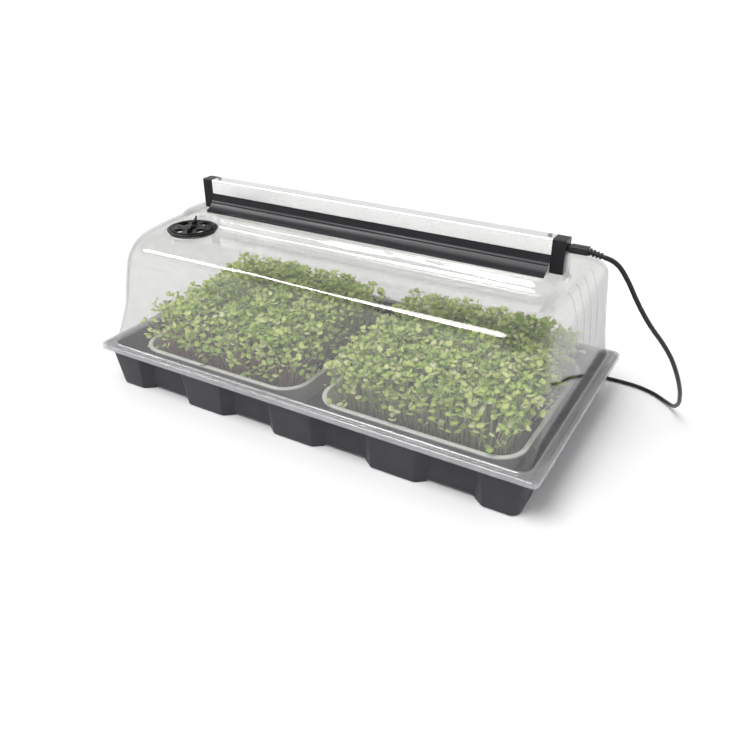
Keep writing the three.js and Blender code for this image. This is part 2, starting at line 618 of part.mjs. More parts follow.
const wireZ = driverZ + 3;
const LEAD_ROUTES = {
  right: [[DRIVER.right + 0.5, 1, wireZ], [165, 2, wireZ + 2], [185, 4, wireZ + 1], [206, 3, wireZ + 1]],
  left: [[DRIVER.left - 0.5, 1, wireZ], [20, 4, wireZ + 2], [-60, 2, wireZ + 1], [-140, 4, wireZ + 2],
    [-182, 3, wireZ + 1]],
};
for (const [where, route] of Object.entries(LEAD_ROUTES)) {
  addPart(`lamp_lead_${where}`, tubeAlong(route, LEAD_D, 6, 4 * (route.length - 1)), BLACK_RUBBER);
}

// ---- lead: inlet, connector, strain relief, cord, coil, tie and mains plug ----
const inletX = LIGHT.right - END_CAP.wall - GAP;      // the inlet's outer face
const pinRows = { a: LIGHT.y - PLUG_IN.pinY, b: LIGHT.y + PLUG_IN.pinY };

// the rectangular plug-in space, or with a gap the nose that fills it
function plugInBox(x0, x1, gap) {
  const { z, halfY, halfZ } = PLUG_IN;
  return box(x0, x1, LIGHT.y - halfY + gap, LIGHT.y + halfY - gap, z - halfZ + gap, z + halfZ - gap);
}

function inletSocket() {
  const half = halfWidth - END_CAP.wall - GAP;
  const { length, below, above } = INLET;
  const [low, high] = [PLUG_IN.z - below, PLUG_IN.z + above];
  const block = box(inletX - length, inletX, LIGHT.y - half, LIGHT.y + half, low, high);
  const bottom = inletX - PLUG_IN.depth;
  const pinHoles = Object.values(pinRows).map((y) => (
    cylinderX(PLUG_IN.pinRadius + GAP, inletX - length - 1, bottom + 1, y, PLUG_IN.z, 8)));
  return toGeometry(cut(toSolid(block), plugInBox(bottom, inletX + 1, 0), ...pinHoles));
}
addPart('inlet_socket', inletSocket(), BLACK);
for (const [letter, y] of Object.entries(pinRows)) {
  const pin = cylinderX(PLUG_IN.pinRadius, inletX - 10, inletX - 1.5, y, PLUG_IN.z, 8);
  addPart(`inlet_pin_${letter}`, pin, BRASS);
}

const connectorX = LIGHT.right + GAP + STOP.thick + GAP;
const connectorEnd = connectorX + CONNECTOR.length;

function cordConnector() {
  const outline = roundedShape(CONNECTOR.width / 2, CONNECTOR.height / 2, CONNECTOR.corner);
  const body = alongX(outline, connectorX, connectorEnd, 3).translate(0, LIGHT.y, PLUG_IN.z);
  const noseStart = inletX - PLUG_IN.depth + 0.6;
  const bores = Object.values(pinRows).map((y) => (
    cylinderX(PLUG_IN.pinRadius + GAP, noseStart - 1, noseStart + PLUG_IN.depth, y, PLUG_IN.z, 8)));
  return toGeometry(cut(join(body, plugInBox(noseStart, connectorX + 1, GAP)), ...bores));
}
addPart('cord_connector', cordConnector(), BLACK_RUBBER);

function ribbedRelief(length, thick, thin, ribs) {
  const points = [new THREE.Vector2(0, 0)];
  const pitch = length / ribs;
  for (let rib = 0; rib < ribs; rib += 1) {
    const at = rib * pitch;
    const radius = thick + (thin - thick) * rib / ribs;
    points.push(new THREE.Vector2(radius, at));
    points.push(new THREE.Vector2(radius, at + pitch * RIB.ridge));
    points.push(new THREE.Vector2(radius * RIB.core, at + pitch * RIB.groove));
    points.push(new THREE.Vector2(radius * RIB.core, at + pitch * RIB.groovesEnd));
  }
  points.push(new THREE.Vector2(thin * RIB.core, length), new THREE.Vector2(0, length));
  return new THREE.LatheGeometry(points, 12);
}
const reliefStart = new THREE.Vector3(connectorEnd + GAP + 0.4, LIGHT.y, PLUG_IN.z - 0.4);
const reliefShape = ribbedRelief(RELIEF.length, RELIEF.thick, RELIEF.thin, RELIEF.ribs);
const relief = addPart('strain_relief', reliefShape, BLACK_RUBBER);
relief.position.copy(reliefStart);
relief.rotation.z = -Math.PI / 2;
relief.rotation.order = 'YZX';
relief.rotation.y = RELIEF.tilt;

const exitX = reliefStart.x + (RELIEF.length + GAP) * Math.cos(RELIEF.tilt);
const exitZ = reliefStart.z - (RELIEF.length + GAP) * Math.sin(RELIEF.tilt);
const coilLift = COIL.bottom + CORD_D / 2;
const coilEntryR = COIL.inner + (COIL.rows - 1) * COIL.pitch;
const coilOuterR = coilEntryR + CORD_D / 2 + COIL.skin;
const coilInnerR = COIL.inner - CORD_D / 2 - COIL.skin;
const coilBottom = COIL.bottom - COIL.skin / 2;
const coilHeight = (COIL.layers - 1) * COIL.pitch + CORD_D + COIL.skin;
const entryY = COIL.y - coilEntryR;
const entryX = COIL.x + Math.sqrt(coilOuterR ** 2 - (coilEntryR - CORD_D / 2) ** 2) + GAP;

// the cord's route from the strain relief to the coil, settled by hand
const CORD_ROUTE = [
  [exitX, LIGHT.y, exitZ],
  [exitX + 8, 3.5, exitZ - 2.4],
  [281, 5.5, 205.5],
  [290.5, 9, 191.5],
  [299, 14, 174.5],
  [308, 21, 157],
  [317, 29, 141],
  [327.5, 39, 124],
  [338, 52, 102],
  [346, 68, 75],
  [350, 88, 47],
  [349, 108, 24],
  [343, 126, 9],
  [332, 142, 3.2],
  [317, 154, FLOOR_Z],
  [298, 161.5, FLOOR_Z],
  [275, 164, FLOOR_Z],
  [245, 163, FLOOR_Z],
  [215, 160.5, FLOOR_Z],
  [185, entryY + 0.5, FLOOR_Z + 0.3],
  [165, entryY, coilLift - 0.1],
  [entryX, entryY, coilLift],
];
addPart('power_cord', tubeAlong(CORD_ROUTE, CORD_D, CORD_SIDES, 70), BLACK_RUBBER);

function cordCoil() {
  const soft = 1.6;
  const profile = [
    [coilInnerR + soft, 0], [coilOuterR - soft, 0], [coilOuterR, soft], [coilOuterR, coilHeight - soft],
    [coilOuterR - soft, coilHeight], [coilInnerR + soft, coilHeight], [coilInnerR, coilHeight - soft],
    [coilInnerR, soft], [coilInnerR + soft, 0],
  ];
  const points = profile.map(([radius, z]) => new THREE.Vector2(radius, z));
  return new THREE.LatheGeometry(points, 36).rotateX(Math.PI / 2).translate(COIL.x, COIL.y, coilBottom);
}
addPart('cord_coil', cordCoil(), BLACK_RUBBER);

// a strap round the bundle on the side away from the tray
function cordTie() {
  const { halfWidth: halfStrap, strap, slackIn, slackOut } = TIE;
  const inner = coilInnerR - slackIn;
  const outer = coilOuterR + slackOut;
  const top = coilBottom + coilHeight + GAP;
  const low = coilBottom - GAP;
  const frame = polygon([[inner - strap, low - strap], [outer + strap, low - strap],
    [outer + strap, top + strap], [inner - strap, top + strap]]);
  const space = [[inner, low], [inner, top], [outer, top], [outer, low]];
  frame.holes.push(new THREE.Path(space.map(([y, z]) => new THREE.Vector2(y, z))));
  return alongX(frame, COIL.x - halfStrap, COIL.x + halfStrap).translate(0, COIL.y, 0);
}
addPart('cord_tie', cordTie(), BLACK);

// the mains plug lies beside the coil, on the line where the last turn leaves it
const plugX = COIL.x - (entryX - COIL.x) - PLUG_RELIEF.length - 0.6;
const plugFront = plugX - PLUG.length;
const plugZ = coilLift + COIL.pitch;

function bladeBox(side, x0, x1, gap) {
  const middle = side * BLADE.y;
  const thick = BLADE.halfThick + gap;
  const wide = BLADE.halfWidth + gap;
  return box(x0, x1, middle - thick, middle + thick, -wide, wide);
}

function mainsPlug() {
  const outline = roundedShape(PLUG.width / 2, PLUG.height / 2, PLUG.corner);
  const body = alongX(outline, plugFront, plugX, 4);
  const neck = ribbedRelief(PLUG_RELIEF.length + 2, PLUG_RELIEF.thick, PLUG_RELIEF.thin, PLUG_RELIEF.ribs);
  const slots = [-1, 1].map((side) => bladeBox(side, plugFront - 1, plugFront + BLADE.inside, GAP));
  const solid = cut(join(body, neck.rotateZ(-Math.PI / 2).translate(plugX - 2, 0, 0)), ...slots);
  return toGeometry(solid).translate(0, entryY, plugZ);
}
addPart('mains_plug', mainsPlug(), BLACK_RUBBER);
for (const [letter, side] of Object.entries({ a: -1, b: 1 })) {
  const blade = bladeBox(side, plugFront - BLADE.out, plugFront + BLADE.inside - GAP, 0);
  addPart(`plug_blade_${letter}`, blade.translate(0, entryY, plugZ), BRASS);
}

// ---- grow trays with their growing medium and microgreens ----
function growTray() {
  const { halfX, halfY, corner, bottom, top, wall, draft, rim } = PAN;
  const { thick, edge } = PAN_RIM;
  const mouth = { z: top - thick, a: halfX - rim, b: halfY - rim, r: corner - rim };
  const low = { z: bottom + PAN_FOOT.height, a: mouth.a - draft, b: mouth.b - draft, r: corner - 4 };
  const foot = { ...inset(low, PAN_FOOT.edge), z: bottom };
  const rimRing = { z: top - thick, a: halfX, b: halfY, r: corner };
  const block = loft([
    foot, low, mouth, rimRing, { ...rimRing, z: top - edge }, { ...inset(rimRing, edge), z: top },
  ]);
  const hollow = loft([
    inset(foot, wall, -wall), inset(low, wall, -wall), inset(mouth, wall),
    { ...inset(mouth, wall), z: top + 1 },
  ]);
  return toGeometry(cut(toSolid(block), hollow));
}

function growingMedium() {
  const { halfX, halfY, corner, bottom, wall, draft, rim } = PAN;
  const low = rim + draft + wall + 3;
  const high = rim + draft / 2 + wall + 1;
  return loft([
    { z: bottom + wall + GAP, a: halfX - low, b: halfY - low, r: corner - 9 },
    { z: MEDIUM_TOP, a: halfX - high, b: halfY - high, r: corner - 8 },
  ]);
}

for (const [where, x] of Object.entries(PAN_X)) {
  const pan = new THREE.Group();
  pan.position.x = x;
  addPart(`grow_tray_${where}`, growTray(), WHITE, pan);
  addPart(`growing_medium_${where}`, growingMedium(), SOIL, pan);
  addPart(`microgreens_${where}`, loft(GREENS_STATIONS), LEAF, pan);
  object.add(pan);
}

export default object;
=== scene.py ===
"""A propagation set: ribbed tray, clear vented dome, LED strip light, two grow trays of microgreens.

Sizes are in millimetres until a mesh is made. +X is the end where the light's lead leaves, -Y the front.
"""
import math

import bmesh
import bpy
import numpy as np
from mathutils import Matrix, Vector, noise


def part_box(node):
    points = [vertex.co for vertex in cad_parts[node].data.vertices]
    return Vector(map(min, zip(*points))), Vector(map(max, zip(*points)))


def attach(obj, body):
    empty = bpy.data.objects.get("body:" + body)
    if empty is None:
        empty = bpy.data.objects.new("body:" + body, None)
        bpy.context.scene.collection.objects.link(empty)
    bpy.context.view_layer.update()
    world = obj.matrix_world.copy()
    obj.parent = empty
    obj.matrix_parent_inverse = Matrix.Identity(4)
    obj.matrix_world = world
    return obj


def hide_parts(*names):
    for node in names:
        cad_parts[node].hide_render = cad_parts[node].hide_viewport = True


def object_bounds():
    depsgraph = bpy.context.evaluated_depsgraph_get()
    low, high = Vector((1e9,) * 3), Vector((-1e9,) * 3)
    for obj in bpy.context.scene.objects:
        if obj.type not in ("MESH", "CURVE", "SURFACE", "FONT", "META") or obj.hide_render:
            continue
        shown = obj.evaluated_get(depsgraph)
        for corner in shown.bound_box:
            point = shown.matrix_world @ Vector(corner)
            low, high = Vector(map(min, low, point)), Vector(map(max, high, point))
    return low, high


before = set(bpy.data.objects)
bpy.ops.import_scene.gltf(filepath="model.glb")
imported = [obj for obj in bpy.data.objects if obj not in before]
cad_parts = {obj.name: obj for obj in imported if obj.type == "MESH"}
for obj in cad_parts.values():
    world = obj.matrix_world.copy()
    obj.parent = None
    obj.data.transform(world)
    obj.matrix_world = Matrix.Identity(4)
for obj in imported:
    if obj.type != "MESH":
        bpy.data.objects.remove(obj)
cad_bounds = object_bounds()

MM = 0.001
TURN = 2 * math.pi
GAP = 0.3  # left between pieces that touch
CORNER_STEPS = 12  # facets in a rounded plan corner
SIDES = ("left", "right")
scene = bpy.context.scene


def linked(name, data):
    """A new object in the scene."""
    obj = bpy.data.objects.new(name, data)
    scene.collection.objects.link(obj)
    return obj


# ---- camera ----
def make_camera():
    data = bpy.data.cameras.new("camera")
    data.sensor_width = 36
    data.lens = 35.58
    data.clip_end = 60
    scene.camera = camera = linked("camera", data)
    camera.location = (0.40696, -0.66284, 0.45721)
    camera.rotation_euler = (math.radians(60.31), 0, math.radians(30.01))


make_camera()


# ---- node helpers ----
LOOKS = {}


def node_tree(name):
    """A new look, kept in LOOKS under its name: its empty node tree and what its surface joins."""
    LOOKS[name] = material = bpy.data.materials.new(name)
    material.use_nodes = True
    tree = material.node_tree
    tree.nodes.clear()
    return tree, tree.nodes.new("ShaderNodeOutputMaterial").inputs["Surface"]


def set_inputs(node, **values):
    for key, value in values.items():
        node.inputs[key.replace("_", " ")].default_value = value


def object_noise(tree, scale, detail=4.0, stretch=(1, 1, 1)):
    """Noise in the object's own coordinates, in millimetres: scale is the size of one blotch."""
    coords = tree.nodes.new("ShaderNodeTexCoord")
    mapping = tree.nodes.new("ShaderNodeMapping")
    mapping.inputs["Scale"].default_value = [s / (scale * MM) for s in stretch]
    texture = tree.nodes.new("ShaderNodeTexNoise")
    set_inputs(texture, Scale=1.0, Detail=detail)
    tree.links.new(coords.outputs["Object"], mapping.inputs["Vector"])
    tree.links.new(mapping.outputs["Vector"], texture.inputs["Vector"])
    return texture.outputs["Fac"]


def ramp(tree, value, *stops):
    """A colour ramp with (position, colour) stops."""
    node = tree.nodes.new("ShaderNodeValToRGB")
    elements = node.color_ramp.elements
    while len(elements) < len(stops):
        elements.new(0.5)
    for element, (position, colour) in zip(elements, stops):
        element.position = position
        element.color = (*colour, 1)
    tree.links.new(value, node.inputs["Fac"])
    return node.outputs["Color"]


def spread(tree, value, low, high):
    """Maps the middle of a noise value onto low..high."""
    node = tree.nodes.new("ShaderNodeMapRange")
    set_inputs(node, From_Min=0.3, From_Max=0.7, To_Min=low, To_Max=high)
    tree.links.new(value, node.inputs["Value"])
    return node.outputs["Result"]


def mixed(tree, first, second, share):
    """Two shaders mixed by a share of the second."""
    node = tree.nodes.new("ShaderNodeMixShader")
    if isinstance(share, float):
        set_inputs(node, Fac=share)
    else:
        tree.links.new(share, node.inputs["Fac"])
    tree.links.new(first, node.inputs[1])
    tree.links.new(second, node.inputs[2])
    return node.outputs["Shader"]


def bump(tree, height, depth, strength=1.0):
    node = tree.nodes.new("ShaderNodeBump")
    set_inputs(node, Strength=strength, Distance=depth * MM)
    tree.links.new(height, node.inputs["Height"])
    return node.outputs["Normal"]


def moulded(name, dark, light, roughness, grain=1.2, depth=0.05, blotch=40, metallic=0.0, coat=0.0,
            stretch=(1, 1, 1), specular=0.5):
    """A moulded, brushed or cast surface: slow colour variation, fine grain in roughness and bump."""
    tree, surface = node_tree(name)
    shader = tree.nodes.new("ShaderNodeBsdfPrincipled")
    set_inputs(shader, Metallic=metallic, Coat_Weight=coat, Coat_Roughness=0.15,
               Specular_IOR_Level=specular)
    slow = object_noise(tree, blotch)
    fine = object_noise(tree, grain, 6.0, stretch)
    links = tree.links
    links.new(ramp(tree, slow, (0.3, dark), (0.7, light)), shader.inputs["Base Color"])
    links.new(spread(tree, fine, roughness * 0.8, roughness * 1.2), shader.inputs["Roughness"])
    links.new(bump(tree, fine, depth), shader.inputs["Normal"])
    links.new(shader.outputs["BSDF"], surface)


def clear(name, face_tint, edge_tint, haze, haze_colour, roughness=0.04, gloss_share=0.05):
    """Thin clear plastic: lets light through, darker at a grazing angle, with a slight milky haze."""
    tree, surface = node_tree(name)
    nodes, links = tree.nodes, tree.links
    facing = nodes.new("ShaderNodeLayerWeight")
    set_inputs(facing, Blend=0.5)
    tint = ramp(tree, facing.outputs["Facing"], (0.0, face_tint), (0.68, face_tint), (1.0, edge_tint))
    through = nodes.new("ShaderNodeBsdfTransparent")
    links.new(tint, through.inputs["Color"])
    milk = nodes.new("ShaderNodeBsdfDiffuse")
    set_inputs(milk, Color=(*haze_colour, 1))
    cloudy = spread(tree, object_noise(tree, 60, 3.0), haze * 0.75, haze * 1.25)
    veil = mixed(tree, through.outputs["BSDF"], milk.outputs["BSDF"], cloudy)
    gloss = nodes.new("ShaderNodeBsdfGlossy")
    set_inputs(gloss, Roughness=roughness)
    links.new(bump(tree, object_noise(tree, 35, 2.0), 0.25, 0.35), gloss.inputs["Normal"])
    grazing = nodes.new("ShaderNodeMath")
    grazing.operation = "POWER"
    links.new(facing.outputs["Facing"], grazing.inputs[0])
    grazing.inputs[1].default_value = 5
    share = nodes.new("ShaderNodeMapRange")
    set_inputs(share, To_Min=gloss_share, To_Max=0.9)
    links.new(grazing.outputs["Value"], share.inputs["Value"])
    links.new(mixed(tree, veil, gloss.outputs["BSDF"], share.outputs["Result"]), surface)


def coloured(tree, value, roughness, *stops):
    """A principled shader whose colour runs over the stops with a value; also the colour."""
    shader = tree.nodes.new("ShaderNodeBsdfPrincipled")
    set_inputs(shader, Roughness=roughness)
    colour = ramp(tree, value, *stops)
    tree.links.new(colour, shader.inputs["Base Color"])
    return shader, colour


def tint_value(tree):
    """Each plant's own shade, from its mesh."""
    tint = tree.nodes.new("ShaderNodeAttribute")
    tint.attribute_name = "Tint"
    return tint.outputs["Fac"]


def leaf_material():
    """Leaf blades, from deep green to pale yellow-green, with light coming through."""
    tree, surface = node_tree("leaf")
    shader, colour = coloured(tree, tint_value(tree), 0.5, (0.0, (0.24, 0.42, 0.04)),
                              (0.35, (0.60, 0.82, 0.15)), (0.7, (0.88, 0.97, 0.34)),
                              (1.0, (0.95, 0.98, 0.62)))
    set_inputs(shader, Sheen_Weight=0.15)
    tree.links.new(bump(tree, object_noise(tree, 1.5), 0.15, 0.5), shader.inputs["Normal"])
    glow = tree.nodes.new("ShaderNodeBsdfTranslucent")
    tree.links.new(colour, glow.inputs["Color"])
    tree.links.new(mixed(tree, shader.outputs["BSDF"], glow.outputs["BSDF"], 0.28), surface)


def stem_material():
    """Stems, from crimson to pale green."""
    tree, surface = node_tree("stem")
    shader, _ = coloured(tree, tint_value(tree), 0.4, (0.0, (0.42, 0.08, 0.10)), (0.4, (0.55, 0.30, 0.25)),
                         (0.7, (0.50, 0.58, 0.27)), (1.0, (0.62, 0.70, 0.42)))
    tree.links.new(shader.outputs["BSDF"], surface)


def medium_material():
    tree, surface = node_tree("growing_medium")
    fibre = object_noise(tree, 2.5, 8.0)
    shader, _ = coloured(tree, fibre, 0.95, (0.3, (0.035, 0.018, 0.010)), (0.55, (0.13, 0.07, 0.035)),
                         (0.75, (0.26, 0.16, 0.09)))
    tree.links.new(bump(tree, fibre, 1.2), shader.inputs["Normal"])
    tree.links.new(shader.outputs["BSDF"], surface)


moulded("charcoal_plastic", (0.030, 0.028, 0.034), (0.042, 0.039, 0.046), 0.42, grain=0.8, depth=0.04,
        blotch=30, specular=0.3)
moulded("black_plastic", (0.007, 0.007, 0.008), (0.012, 0.012, 0.014), 0.36, grain=0.7, depth=0.02,
        specular=0.2)
moulded("white_aluminium", (0.80, 0.80, 0.79), (0.86, 0.86, 0.85), 0.32, grain=0.8, depth=0.003,
        metallic=0.8, stretch=(0.03, 1, 1))
moulded("reflector_black", (0.006, 0.006, 0.008), (0.011, 0.010, 0.014), 0.30, grain=1.5, depth=0.006,
        stretch=(0.02, 1, 1), specular=0.25)
moulded("reflector_white", (0.60, 0.61, 0.62), (0.72, 0.73, 0.74), 0.35, grain=1.5, depth=0.02,
        stretch=(0.02, 1, 1))
moulded("white_plastic", (0.83, 0.82, 0.80), (0.90, 0.90, 0.88), 0.28, grain=1.5, depth=0.03, coat=0.25)
moulded("brass", (0.62, 0.43, 0.16), (0.74, 0.55, 0.24), 0.30, grain=0.5, depth=0.01, blotch=6,
        metallic=0.95)
moulded("steel", (0.22, 0.22, 0.23), (0.34, 0.34, 0.35), 0.35, grain=0.4, depth=0.01, blotch=4,
        metallic=0.9)
moulded("led_board", (0.78, 0.79, 0.80), (0.86, 0.87, 0.88), 0.45, grain=0.5, blotch=12)
moulded("led_emitter", (0.90, 0.80, 0.42), (0.95, 0.88, 0.55), 0.25, grain=0.4, depth=0.01, blotch=2)
moulded("circuit_board", (0.02, 0.11, 0.05), (0.05, 0.19, 0.09), 0.4, blotch=6)
moulded("copper_winding", (0.45, 0.17, 0.06), (0.62, 0.28, 0.12), 0.35, grain=0.5, depth=0.2, blotch=3,
        metallic=0.8, stretch=(0.1, 0.1, 1))
moulded("cord_rubber", (0.008, 0.008, 0.009), (0.013, 0.013, 0.015), 0.36, grain=0.6, depth=0.02,
        specular=0.3)
moulded("tie_strap", (0.012, 0.012, 0.013), (0.022, 0.022, 0.024), 0.6, grain=0.5, depth=0.12, blotch=8)
clear("clear_plastic", (0.945, 0.944, 0.940), (0.46, 0.47, 0.47), 0.012, (0.97, 0.97, 0.96),
      gloss_share=0.085)
clear("flange_plastic", (0.88, 0.88, 0.89), (0.42, 0.43, 0.44), 0.17, (0.86, 0.86, 0.88), 0.16,
      gloss_share=0.17)
clear("lamp_tube", (0.95, 0.96, 0.96), (0.60, 0.62, 0.62), 0.10, (0.9, 0.9, 0.9), 0.08)
medium_material()
leaf_material()
stem_material()


# ---- mesh helpers: a mesh is (vertices, faces), in millimetres ----
def arc_corner(before, corner, after, radius, steps):
    """Points of a circular fillet at a corner of an outline."""
    back = (before - corner).normalized()
    on = (after - corner).normalized()
    half_turn = (math.pi - back.angle(on)) / 2
    reach = radius * math.tan(half_turn)
    weight = math.cos(half_turn)
    points = []
    for k in range(steps + 1):
        s = k / steps
        first, middle, last = (1 - s) ** 2, 2 * weight * s * (1 - s), s ** 2
        total = (corner + back * reach) * first + corner * middle + (corner + on * reach) * last
        points.append(total / (first + middle + last))
    return points


def rounded(corners):
    """A closed outline through (u, v, radius, steps) corners."""
    outline = []
    for i, (u, v, radius, steps) in enumerate(corners):
        corner = Vector((u, v))
        if not steps:
            outline.append(corner)
            continue
        before = Vector(corners[i - 1][:2])
        after = Vector(corners[(i + 1) % len(corners)][:2])
        outline += arc_corner(before, corner, after, radius, steps)
    return [(p.x, p.y) for p in outline]


def plan(a, b, r, steps=CORNER_STEPS):
    """A rounded rectangle, counter-clockwise from above."""
    return rounded([(-a, -b, r, steps), (a, -b, r, steps), (a, b, r, steps), (-a, b, r, steps)])


def at_height(outline, z):
    return [(x, y, z) for x, y in outline]


def along_x(outline, x):
    """An outline drawn as (y, z), placed across the X axis."""
    return [(x, y, z) for y, z in outline]


def skin(rings, closed=False):
    """Faces between rings of equal length; the first and last get a cap, or join up when closed."""
    count = len(rings[0])
    vertices = [point for ring in rings for point in ring]
    faces = []
    for i in range(len(rings) if closed else len(rings) - 1):
        low = i * count
        high = (i + 1) % len(rings) * count
        for k in range(count):
            n = (k + 1) % count
            faces.append((low + k, low + n, high + n, high + k))
    if not closed:
        last = (len(rings) - 1) * count
        faces.append(tuple(reversed(range(count))))
        faces.append(tuple(last + k for k in range(count)))
    return vertices, faces


def circle(radius, sides):
    angles = [TURN * k / sides for k in range(sides)]
    return [(radius * math.cos(angle), radius * math.sin(angle)) for angle in angles]


def lathe(profile, sides=72):
    """A closed (radius, z) profile turned about Z."""
    rings = []
    for k in range(sides):
        angle = TURN * k / sides
        rings.append([(r * math.cos(angle), r * math.sin(angle), z) for r, z in profile])
    return skin(rings, closed=True)


def disc(radius, z0, z1, sides=72, flare=0.0):
    """A solid cylinder about Z, wider at its top by flare."""
    return skin([at_height(circle(radius, sides), z0), at_height(circle(radius + flare, sides), z1)])


def block(low, high):
    """A box from its low corner to its high corner."""
    (x0, y0, z0), (x1, y1, z1) = low, high
    return skin([at_height([(x0, y0), (x1, y0), (x1, y1), (x0, y1)], z) for z in (z0, z1)])


def merged(*meshes):
    vertices, faces = [], []
    for points, polygons in meshes:
        start = len(vertices)
        vertices += points
        faces += [tuple(start + i for i in face) for face in polygons]
    return vertices, faces


def moved(mesh, shift=(0, 0, 0), turn=0.0):
    """The mesh turned about Z, then shifted."""
    matrix = Matrix.Translation(shift) @ Matrix.Rotation(turn, 4, "Z")
    return [tuple(matrix @ Vector(p)) for p in mesh[0]], mesh[1]


def to_data(mesh):
    """A Blender mesh in metres, its faces turned outwards."""
    data = bpy.data.meshes.new("solid")
    data.from_pydata([(x * MM, y * MM, z * MM) for x, y, z in mesh[0]], [], mesh[1])
    edit = bmesh.new()
    edit.from_mesh(data)
    bmesh.ops.recalc_face_normals(edit, faces=edit.faces)
    edit.to_mesh(data)
    edit.free()
    return data


def applied(obj):
    """The object's mesh with its modifiers applied."""
    graph = bpy.context.evaluated_depsgraph_get()
    return bpy.data.meshes.new_from_object(obj.evaluated_get(graph))


def boolean(base, operation, *tools):
    """The base mesh joined with or cut by each tool."""
    for tool in tools:
        holder = linked("base", base)
        cutter = linked("tool", to_data(tool) if isinstance(tool, tuple) else tool)
        modifier = holder.modifiers.new("boolean", "BOOLEAN")
        modifier.operation = operation
        modifier.object = cutter
        modifier.solver = "EXACT"
        base = applied(holder)
        bpy.data.objects.remove(holder)
        bpy.data.objects.remove(cutter)
    return base


def ease_edges(obj, width, segments, limit):
    """A bevel on the edges that turn by more than a limit in degrees."""
    modifier = obj.modifiers.new("bevel", "BEVEL")
    modifier.width = width * MM
    modifier.segments = segments
    modifier.limit_method = "ANGLE"
    modifier.angle_limit = math.radians(limit)


def set_look(obj, look):
    obj.data.materials.clear()
    obj.data.materials.append(LOOKS[look])


def placed(name, data, body, replaces):
    """A new object that rides on a body and stands in for the CAD nodes it replaces."""
    data.name = name
    obj = linked(name, data)
    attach(obj, body)
    if replaces:
        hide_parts(*replaces)
    return obj


def piece(name, mesh, look, body, replaces=(), sharp=35.0, bevel=0.0):
    """A named object that rides on a body, smooth except at edges sharper than the given angle."""
    obj = placed(name, to_data(mesh) if isinstance(mesh, tuple) else mesh, body, replaces)
    set_look(obj, look)
    if bevel:
        ease_edges(obj, bevel, 2, 40)
        obj.data = applied(obj)
        obj.modifiers.clear()
    obj.data.shade_smooth()
    obj.data.set_sharp_from_angle(angle=math.radians(sharp))
    return obj


def keep_node(node, look, bevel=0.0, segments=2):
    """A CAD node that stays, with its edges eased and its own material."""
    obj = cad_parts[node]
    set_look(obj, look)
    weld = obj.modifiers.new("weld", "WELD")
    weld.merge_threshold = 0.00001
    if bevel:
        ease_edges(obj, bevel, segments, 30)


def smooth_between(stations, fine):
    """Monotone cubic curves through rows of numbers, fine steps for each gap between rows."""
    rows = np.array(stations, float)
    gaps = np.linalg.norm(np.diff(rows, axis=0), axis=1)
    at = np.concatenate([[0], np.cumsum(gaps)])
    slopes = np.diff(rows, axis=0) / gaps[:, None]
    tangents = np.zeros_like(rows)
    tangents[0], tangents[-1] = slopes[0], slopes[-1]
    for i in range(1, len(rows) - 1):
        before, after = slopes[i - 1], slopes[i]
        w1, w2 = 2 * gaps[i] + gaps[i - 1], gaps[i] + 2 * gaps[i - 1]
        same = before * after > 0
        safe_before = np.where(same, before, 1)
        safe_after = np.where(same, after, 1)
        tangents[i] = np.where(same, (w1 + w2) / (w1 / safe_before + w2 / safe_after), 0)
    result = []
    for i in range(len(rows) - 1):
        for k in range(fine):
            s = k / fine
            h = gaps[i]
            result.append((2 * s**3 - 3 * s**2 + 1) * rows[i] + (s**3 - 2 * s**2 + s) * h * tangents[i]
                          + (3 * s**2 - 2 * s**3) * rows[i + 1] + (s**3 - s**2) * h * tangents[i + 1])
    return result + [rows[-1]]


# ---- cord: connector, strain relief, route, coil, tie and plug ----
CORD_D = 4.5
ROUTE_STEPS = 6  # points between each two of the route
LEAD_IN = (140, 158.7, 3.45)  # last point before the coil
CORD_TUCK = 6  # straight run out of the coil's end
PLUG_OVERLAP = 2  # how far the cord runs into the plug
COIL = {"x": 130, "y": 191, "inner": 18.5, "pitch": 4.6, "rows": 4, "low": 3.45}
CORD_ROUTE = [
    (266.34, 3, 213.17), (274.34, 3.5, 210.77), (281, 5.5, 205.5), (290.5, 9, 191.5), (299, 14, 174.5),
    (308, 21, 157), (317, 29, 141), (327.5, 39, 124), (338, 52, 102), (346, 68, 75), (350, 88, 47),
    (349, 108, 24), (343, 126, 9), (332, 142, 3.2), (317, 154, 2.45), (298, 161.5, 2.45), (275, 164, 2.45),
    (245, 163, 2.45), (215, 160.5, 2.45), (185, 159.2, 2.75), (165, 158.7, 3.35), (147.75, 158.7, 3.45),
]
COIL_STEPS = 36  # points in each turn


def between(p, q, start, end, t):
    """The point between p, at start, and q, at end."""
    return p * ((end - t) / (end - start)) + q * ((t - start) / (end - start))


def catmull_rom(points, steps):
    """A centripetal Catmull-Rom curve through the points, so many steps between each two."""
    points = [Vector(p) for p in points]
    padded = [points[0] * 2 - points[1], *points, points[-1] * 2 - points[-2]]
    result = []
    for i in range(1, len(padded) - 2):
        p0, p1, p2, p3 = padded[i - 1:i + 3]
        t1 = (p1 - p0).length ** 0.5
        t2 = t1 + (p2 - p1).length ** 0.5
        t3 = t2 + (p3 - p2).length ** 0.5
        for k in range(steps):
            t = t1 + (t2 - t1) * k / steps
            a1, a2, a3 = between(p0, p1, 0, t1, t), between(p1, p2, t1, t2, t), between(p2, p3, t2, t3, t)
            b1, b2 = between(a1, a2, 0, t2, t), between(a2, a3, t1, t3, t)
            result.append(between(b1, b2, t1, t2, t))
    return result + [points[-1]]


